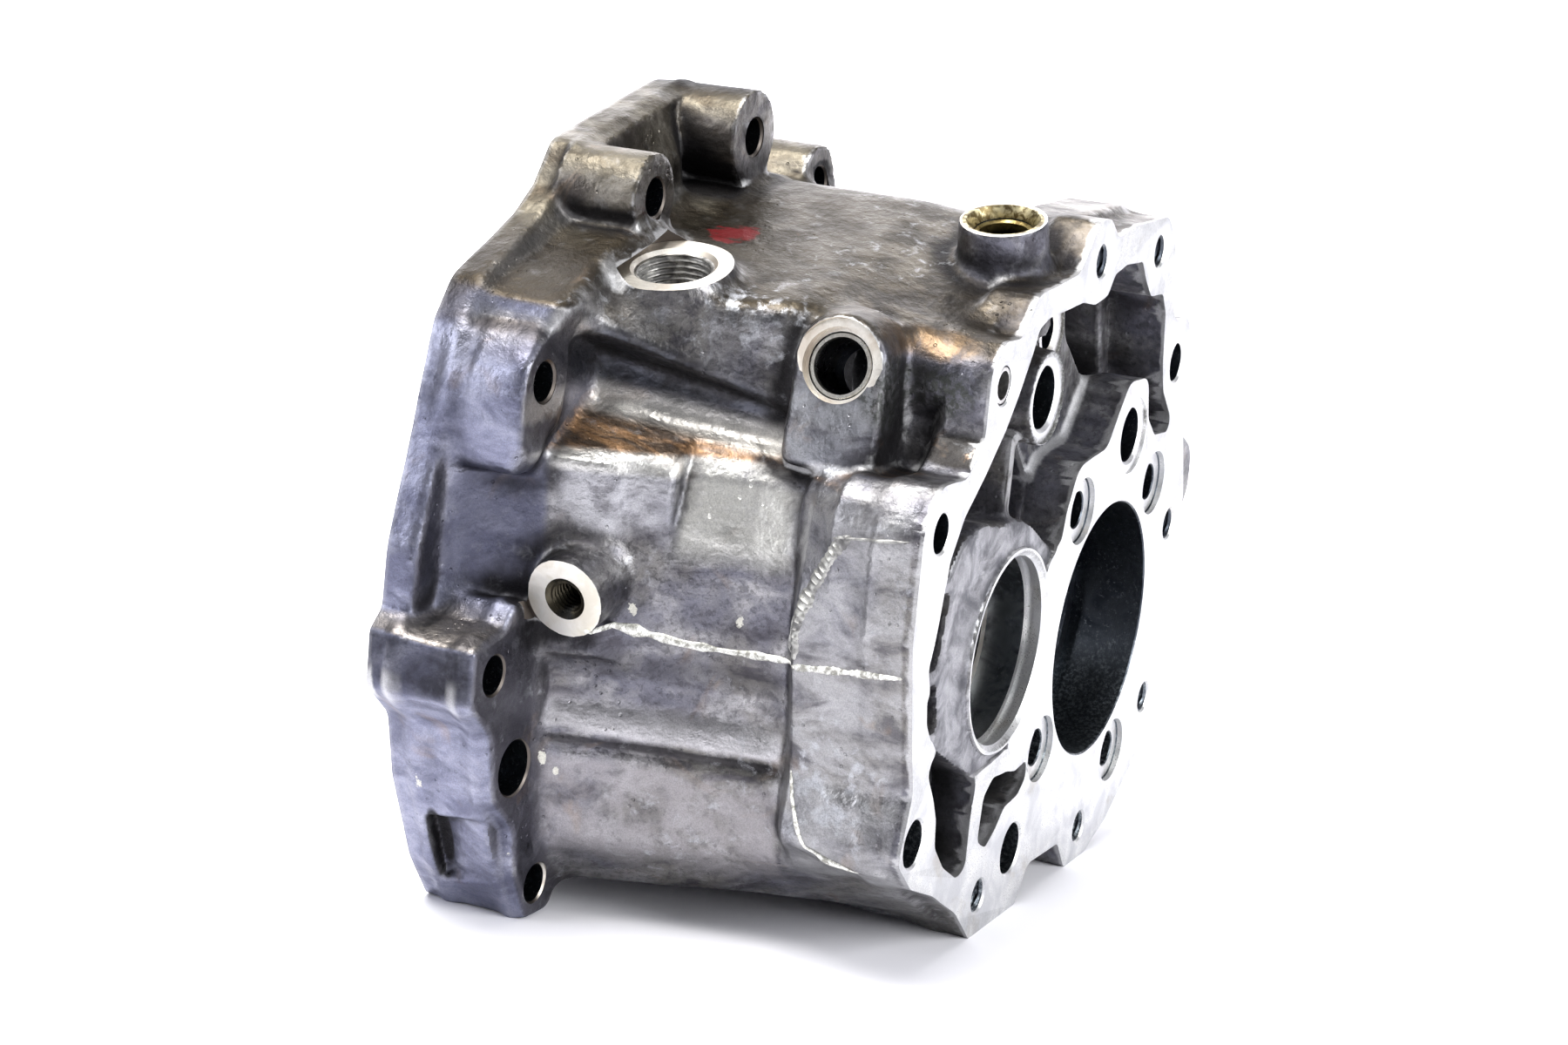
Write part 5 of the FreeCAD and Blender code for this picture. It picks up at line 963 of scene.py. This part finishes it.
planes = Cut()
planes.box((0.0, -200, -200), (20.0, 200, 200), 1)
planes.box((-140.0, -200, -200), (X_FLANGE, 200, 200), 1)
planes.apply(casting, MATS)
floor_cut = Cut(); floor_cut.box((-200, -200, -90), (50, 200, Z_FLOOR), 0); floor_cut.apply(casting, MATS)

XP = (1, 0, 0)
holes = Cut()
holes.spin([(28.545, -33), (28.545, -19), (32.545, -19), (32.545, -0.35), (32.9, 0), (32.9, 2)], (0, 0, 0), XP, 160, 2)
holes.spin([(19.62, -26), (19.62, -15), (22.62, -15), (22.62, -5.6), (24.32, -5.6), (24.32, -3.2), (22.62, -3.2), (22.62, -1.2), (23.82, 0), (23.82, 2)],
           (0,) + SML_C, XP, 128, 2, mats=[2, 1, 2, 1, 1, 1, 1, 1, 1])
holes.spin([(7.5, -51), (7.5, -2.0), (8.3, -1.2), (10.8, -1.2), (10.8, 2)], (0,) + RAIL_1, XP, 64, 2, mats=[2, 1, 1, 1])
holes.spin([(7.0, -51), (7.0, -1.3), (7.7, -0.6), (9.8, -0.6), (9.8, 2)], (0,) + RAIL_2, XP, 64, 2, mats=[2, 1, 1, 1])
holes.spin([(4.5, -39), (4.5, -9.9), (5.4, -9.0), (8.1, -9.0), (8.1, -6)], (0,) + RAIL_3, XP, 48, 2, mats=[2, 1, 1, 1])
for (yy, zz, rr), deep in zip(FACE_CLEAR, (24, 22, 26)):
    holes.spin([(rr, -deep), (rr, -0.5), (rr + 0.5, 0), (rr + 0.5, 2)], (0, yy, zz), XP, 48, 2, mats=[2, 1, 1])
for (yy, zz) in FACE_TAPPED:
    holes.spin([(0.3, -21.4), (3.4, -19.2), (3.4, -17.6), (4.08, -17.6), (4.08, -0.55), (4.5, 0), (4.5, 2)], (0, yy, zz), XP, 40, 2, mats=[2, 2, 2, 2, 1, 1])
for (yy, zz) in RETAINER:
    holes.spin([(4.5, -28), (4.5, -1.9), (4.8, -1.6), (8.0, -1.6), (8.4, -1.3), (8.4, 2)], (0, yy, zz), XP, 56, 2, mats=[2, 2, 1, 2, 1])
holes.spin([(3.0, -40), (3.0, -12), (4.5, -12), (4.5, -0.4), (4.9, 0), (4.9, 2)], (0,) + SLEEVE_C, XP, 48, 2, mats=[2, 2, 2, 1, 1])
holes.spin([(5.0, -14), (5.0, -0.6), (5.6, 0), (5.6, 2)], (0,) + DOWEL_FAR, XP, 48, 2, mats=[2, 1, 1])
holes.apply(casting, MATS)

bell = Cut()
for (yy, zz) in FLANGE_HOLES:
    bell.spin([(4.5, -32), (4.5, -0.5), (5.0, 0), (5.0, 5)], (X_EAR, yy, zz), XP, 48, 2, mats=[2, 1, 1])
for (yy, zz, rr) in FLANGE_DOWELS:
    bell.spin([(rr, -32), (rr, -0.5), (rr + 0.5, 0), (rr + 0.5, 5)], (X_EAR, yy, zz), XP, 56, 2, mats=[2, 1, 1])
bell.apply(casting, MATS)

turned = Cut()
turned.spin([(8.25, -21.0), (8.25, -16.6), (9.12, -16.6), (9.12, -0.9), (10.0, 0), (14.2, 0), (14.2, 3)], T1_C, TAX, 96, 1, mats=[1, 1, 2, 1, 1, 1])
turned.spin([(6.9, -34), (6.9, -2.6), (8.6, 0), (11.4, 0), (11.4, 3)], T2_C, TAX, 96, 1, mats=[2, 1, 1, 1])
turned.spin([(6.4, -32), (6.4, -14), (7.6, -14), (7.6, -1.5), (8.5, -1.5), (8.5, 0), (10.5, 0), (10.5, 3.4)], S1_C, S1_AX, 80, 1, mats=[2, 2, 2, 1, 1, 1, 1])
turned.spin([(0.3, -17.2), (3.4, -15), (3.4, -13.8), (4.08, -13.8), (4.08, -0.9), (5.0, 0), (10.4, 0), (10.4, 3)], S2_C, S2_AX, 64, 1, mats=[2, 2, 2, 2, 2, 1, 1])
turned.apply(casting, MATS)


# ------------------------------------------------------- masks on the casting
def dress(o):
    me = o.data
    me.shade_smooth()
    me.set_sharp_from_angle(angle=math.radians(34))
    n = len(me.vertices)
    co = np.zeros(n * 3, np.float32); me.vertices.foreach_get("co", co); co = co.reshape(-1, 3) / MM
    no = np.zeros(n * 3, np.float32); me.vertices.foreach_get("normal", no); no = no.reshape(-1, 3)
    cav = np.minimum(sample(co + no * 5.0) / 5.0, sample(co + no * 10.0) / 10.0 + 0.10)
    edg = 1.0 + sample(co - no * 1.5) / 1.5
    inn = -sample(co, F_out) / 10.0
    for nm, v in (("cavity", np.clip(cav, 0, 1)), ("edge", np.clip(edg, 0, 1)), ("inner", np.clip(inn, 0, 1))):
        a = me.attributes.get(nm) or me.attributes.new(nm, "FLOAT", "POINT")
        a.data.foreach_set("value", v.astype(np.float32))
    w = o.modifiers.new("w", "WEIGHTED_NORMAL"); w.keep_sharp = True; w.weight = 60
    bake(o)


F = np.maximum(F, XS[:, None, None])
F = np.maximum(F, X_FLANGE - XS[:, None, None])
dress(casting)
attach(casting, "root"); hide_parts("housing")


# ------------------------------------------------------- threads
def thread(o, ax, r_in, r_out, pitch, h0, h1, n=48, per=6):
    """Closed sleeve whose inner wall is a helical groove; it is sunk 0.25 mm into the bore."""
    o = np.array(o, float); ax = np.array(ax, float) / np.linalg.norm(ax)
    ref = np.array([1.0, 0, 0]) if abs(ax[0]) < 0.9 else np.array([0, 1.0, 0])
    e1 = ref - ax * (ref @ ax); e1 /= np.linalg.norm(e1); e2 = np.cross(ax, e1)
    rows = int(round((h1 - h0) / pitch * per)) + 1
    v = []; f = []
    for j in range(rows):
        h = h0 + (h1 - h0) * j / (rows - 1)
        for k in range(n):
            ph = (h / pitch - k / n) % 1.0
            t = min(1.0, max(0.0, abs(ph - 0.5) * 2 * 1.3 - 0.12))
            a = 2 * math.pi * k / n; r = r_out - (r_out - r_in) * t
            v.append(o + ax * h + (e1 * math.cos(a) + e2 * math.sin(a)) * r)
    ro = r_out + 0.25
    for h in (h0, h1):
        for k in range(n):
            a = 2 * math.pi * k / n
            v.append(o + ax * h + (e1 * math.cos(a) + e2 * math.sin(a)) * ro)
    b0 = rows * n; b1 = b0 + n
    for j in range(rows - 1):
        for k in range(n):
            k2 = (k + 1) % n
            f.append((j * n + k, (j + 1) * n + k, (j + 1) * n + k2, j * n + k2))
    for k in range(n):
        k2 = (k + 1) % n
        f.append((b0 + k, b0 + k2, b1 + k2, b1 + k))
        f.append((b0 + k, k, k2, b0 + k2))
        f.append((b1 + k, b1 + k2, (rows - 1) * n + k2, (rows - 1) * n + k))
    return v, f


def gather(name, parts_, mats):
    V, Fc = [], []
    for v, f in parts_:
        b = len(V); V += list(v); Fc += [tuple(b + i for i in q) for q in f]
    o = mesh_obj(name, V, Fc, mats)
    bm = bmesh.new(); bm.from_mesh(o.data); bmesh.ops.recalc_face_normals(bm, faces=bm.faces[:]); bm.to_mesh(o.data); bm.free()
    for nm, v in (("cavity", 1.0), ("edge", 0.0), ("inner", 0.0)):
        a = o.data.attributes.new(nm, "FLOAT", "POINT")
        a.data.foreach_set("value", np.full(len(o.data.vertices), v, np.float32))
    o.data.shade_smooth(); o.data.set_sharp_from_angle(angle=math.radians(50))
    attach(o, "root")
    return o


gather("deck_boss_thread", [thread(T1_C, TAX, 8.3, 9.05, 1.5, -16.4, -0.9, 80, 8)], [threaded_material()])
gather("tapped_hole_threads",
       [thread((0, yy, zz), XP, 3.42, 4.02, 1.25, -17.4, -0.6, 36, 6) for (yy, zz) in FACE_TAPPED] +
       [thread(S2_C, S2_AX, 3.42, 4.02, 1.25, -13.6, -0.9, 36, 6)], [BORED_PAINTED_SHADE])


# ------------------------------------------------------- flash and seams that stand on the cast skin
def wall_y(x, z, y0=-152.0, y1=-98.0):
    """First crossing of the skin going in from the near side."""
    ys = np.arange(y0, y1, 0.5)
    P = np.stack([np.full_like(ys, x), ys, np.full_like(ys, z)], 1)
    d = sample(P)
    k = np.argmax(d < 0)
    if d[k] >= 0: return None
    if k == 0: return ys[0]
    t = d[k - 1] / (d[k - 1] - d[k])
    return ys[k - 1] + 0.5 * t


def normal_at(p):
    p = np.array(p, float); e = 0.9
    g = np.array([sample([p + d_])[0] - sample([p - d_])[0] for d_ in (np.array([e, 0, 0]), np.array([0, e, 0]), np.array([0, 0, e]))])
    return g / np.linalg.norm(g)


def bead(line, width, height, rnd, teeth=0.0, cols=6, ends=True):
    """Low ridge along points (x, z) of the near skin, closed below; width and height are functions of 0..1."""
    line = np.array(line, float)
    V, Fc = [], []
    seg = np.linalg.norm(np.diff(line, axis=0), axis=1); L = seg.sum(); n = max(6, int(L / 0.45))
    cum = np.concatenate([[0], np.cumsum(seg)])
    rows = 0
    kn = np.arange(0, L + 4.4, 2.9); kw = np.clip(1 + 0.22 * rnd.standard_normal(len(kn)), 0.55, 1.5); kh = np.clip(1 + 0.22 * rnd.standard_normal(len(kn)), 0.5, 1.5)
    for i in range(n + 1):
        s_ = L * i / n
        x = np.interp(s_, cum, line[:, 0]); z = np.interp(s_, cum, line[:, 1])
        y = wall_y(x, z)
        if y is None: continue
        a = max(0.0, s_ - 0.6); b = min(L, s_ + 0.6)
        tx, tz = np.interp(b, cum, line[:, 0]) - np.interp(a, cum, line[:, 0]), np.interp(b, cum, line[:, 1]) - np.interp(a, cum, line[:, 1])
        q = math.hypot(tx, tz); sx, sz = -tz / q, tx / q
        t = i / n
        w = width(t) * np.interp(s_, kn, kw); h = height(t) * np.interp(s_, kn, kh)
        if teeth: h = height(t) * (0.45 + 0.9 * max(0.0, math.sin(2 * math.pi * s_ / teeth)))
        w = max(0.15, w); h = max(0.05, h)
        if ends: e = min(1.0, min(t, 1 - t) * 14); w *= 0.35 + 0.65 * e; h *= 0.2 + 0.8 * e
        for j in range(cols + 1):
            u = j / cols * 2 - 1
            px, pz = x + sx * u * w, z + sz * u * w
            py = wall_y(px, pz)
            if py is None: py = y
            py = min(max(py, y - 3), y + 3)
            V.append((px, py + 0.35 - (h + 0.35) * (1 - abs(u) ** 3), pz))
        for j in range(cols + 1):
            u = j / cols * 2 - 1
            V.append((x + sx * u * w * 0.9, y + 1.3, z + sz * u * w * 0.9))
        rows += 1
    m_ = cols + 1; R = 2 * m_
    for i in range(rows - 1):
        for j in range(cols):
            Fc.append((i * R + j, i * R + j + 1, (i + 1) * R + j + 1, (i + 1) * R + j))
            Fc.append((i * R + m_ + j, (i + 1) * R + m_ + j, (i + 1) * R + m_ + j + 1, i * R + m_ + j + 1))
        for j0, j1 in ((0, m_), (cols, m_ + cols)):
            Fc.append((i * R + j0, (i + 1) * R + j0, (i + 1) * R + j1, i * R + j1))
    for i in (0, rows - 1):
        for j in range(cols):
            Fc.append((i * R + j, i * R + j + 1, i * R + m_ + j + 1, i * R + m_ + j))
    return V, Fc


rb = np.random.default_rng(77)
flash = bead([(-72.9, 11.6), (-66.6, 10.1), (-57.5, 8.5), (-46.1, 7.7), (-33.5, 8.2), (-30.5, 8.8)],
             lambda t: 1.35 - 0.55 * t, lambda t: 0.8 - 0.2 * t, rb)
ribbon = bead([(-30.0, 9.0), (-20.2, 10.4), (-9.4, 11.7), (-2.4, 12.4)], lambda t: 1.05, lambda t: 0.55, rb, teeth=1.5)
zipper = bead([(-29.1, 11.0), (-29.3, 15.0), (-28.9, 18.8), (-28.0, 22.6), (-26.7, 26.3), (-25.1, 30.0), (-23.3, 33.5), (-21.4, 36.8), (-19.4, 39.5), (-17.0, 41.6)],
              lambda t: 1.85, lambda t: 0.62, rb, teeth=1.7)
thin = bead([(-21.6, 40.2), (-17.1, 41.0), (-12.0, 41.7), (-3.1, 43.0)], lambda t: 0.55, lambda t: 0.35, rb)
low = bead([(-29.5, -16.0), (-28.2, -21.5), (-26.1, -27.1), (-23.4, -32.1), (-18.0, -34.6), (-10.8, -36.0)], lambda t: 0.55 + 0.5 * t, lambda t: 0.55, rb)
gather("parting_flash", [flash, ribbon, low], [SEAM])
gather("core_seam", [zipper, thin], [ridge_material()])

# ------------------------------------------------------- the three fitted sleeves keep their solids
look = {"dowel_sleeve": fitted_material("sleeve_steel", (0.62, 0.61, 0.60), (0.30, 0.29, 0.28), 0.30),
        "bush_top": fitted_material("bush_bronze", (0.46, 0.36, 0.15), (0.10, 0.07, 0.025), 0.34, mouth=(T2_C, (0.0, -0.30902, 0.95106)), start=-3.9),
        "bush_side": fitted_material("bush_steel", (0.78, 0.76, 0.70), (0.40, 0.38, 0.34), 0.28, mouth=(S1_C, (0.0, -0.97815, 0.20791)), start=-2.0)}
print("frame", type(frame), [o.name for o in bpy.data.objects if o.type == "MESH"])
for nm, mt in look.items():
    o = bpy.data.objects[nm]
    o.data.materials.clear(); o.data.materials.append(mt)
    o.data.shade_smooth(); o.data.set_sharp_from_angle(angle=math.radians(35))

# ------------------------------------------------------- floor, light and camera
fm = bpy.data.materials.new("paper"); fm.use_nodes = True
fb = fm.node_tree.nodes["Principled BSDF"]
fb.inputs["Base Color"].default_value = (0.88, 0.875, 0.915, 1); fb.inputs["Roughness"].default_value = 0.9
fb.inputs["Specular IOR Level"].default_value = 0.1
R_, N_ = 3.2, 28
rows = [(-R_, 0.0), (0.55, 0.0)] + [(0.55 + 0.7 * math.sin(math.pi / 2 * i / 14), 0.7 - 0.7 * math.cos(math.pi / 2 * i / 14)) for i in range(1, 15)] + [(1.25, 3.0)]
fv = []; ff = []
ca, sa = math.cos(math.radians(24.4)), math.sin(math.radians(24.4))
for d_, h_ in rows:
    for s_ in (-3.0, 3.0):
        fv.append(((-0.057) - sa * d_ + ca * s_, -0.04 + ca * d_ + sa * s_, Z_FLOOR * MM + h_))
for i in range(len(rows) - 1):
    ff.append((2 * i, 2 * i + 1, 2 * i + 3, 2 * i + 2))
me = bpy.data.meshes.new("floor"); me.from_pydata(fv, [], ff); me.update(); me.shade_smooth()
floor = bpy.data.objects.new("floor", me); bpy.context.scene.collection.objects.link(floor); me.materials.append(fm)
floor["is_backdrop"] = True


def lamp(name, loc, aim, size, size_y, power, color=(1, 1, 1)):
    L = bpy.data.lights.new(name, "AREA"); L.shape = "RECTANGLE"; L.size = size; L.size_y = size_y; L.energy = power; L.color = color
    o = bpy.data.objects.new(name, L); bpy.context.scene.collection.objects.link(o)
    o.location = loc; o.rotation_euler = (Vector(aim) - Vector(loc)).to_track_quat("-Z", "Y").to_euler()
    return o


MID = (-0.06, -0.05, 0.03)
lamp("over", (-0.30, -0.32, 0.95), MID, 0.7, 0.55, 16, (1.0, 0.99, 0.97))
lamp("left", (-0.85, -0.90, 0.45), MID, 0.30, 0.7, 5, (0.95, 0.96, 1.0))
lamp("front", (0.90, -0.25, 0.50), MID, 0.5, 0.7, 12, (0.98, 0.99, 1.0))
lamp("paper", (-0.45, 0.62, 0.85), (-0.60, 1.15, 0.05), 1.6, 0.5, 26, (1.0, 1.0, 1.0))
w = bpy.data.worlds.new("studio"); bpy.context.scene.world = w; w.use_nodes = True
w.node_tree.nodes["Background"].inputs[0].default_value = (0.93, 0.95, 1.0, 1); w.node_tree.nodes["Background"].inputs[1].default_value = 0.175

az, el, ro = math.radians(24.44550616510997), math.radians(12.548832089608018), math.radians(5.644741827908422)
back = Vector((math.sin(az) * math.cos(el), -math.cos(az) * math.cos(el), math.sin(el)))
right = Vector((0, 0, 1)).cross(back).normalized(); up = back.cross(right)
r2 = right * math.cos(ro) + up * math.sin(ro); u2 = up * math.cos(ro) - right * math.sin(ro)
cd = bpy.data.cameras.new("view"); cd.lens = 67.144; cd.sensor_width = 36.0; cd.sensor_fit = "HORIZONTAL"; cd.clip_start = 0.01; cd.clip_end = 20
cam = bpy.data.objects.new("view", cd); bpy.context.scene.collection.objects.link(cam)
M = Matrix((r2, u2, back)).transposed().to_4x4(); M.translation = Vector((0.22266469, -0.68868063, 0.17927911))
cam.matrix_world = M
bpy.context.scene.camera = cam
bpy.context.scene.view_settings.view_transform = "Standard"
bpy.context.scene.view_settings.look = "None"

b1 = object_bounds()
def plain(b):
    if isinstance(b, dict): return {str(k): plain(v) for k, v in b.items()}
    if isinstance(b, (int, float, str, bool)) or b is None: return b
    try: return [plain(v) for v in b]
    except TypeError: return float(b)
{"before": plain(b0), "after": plain(b1)}
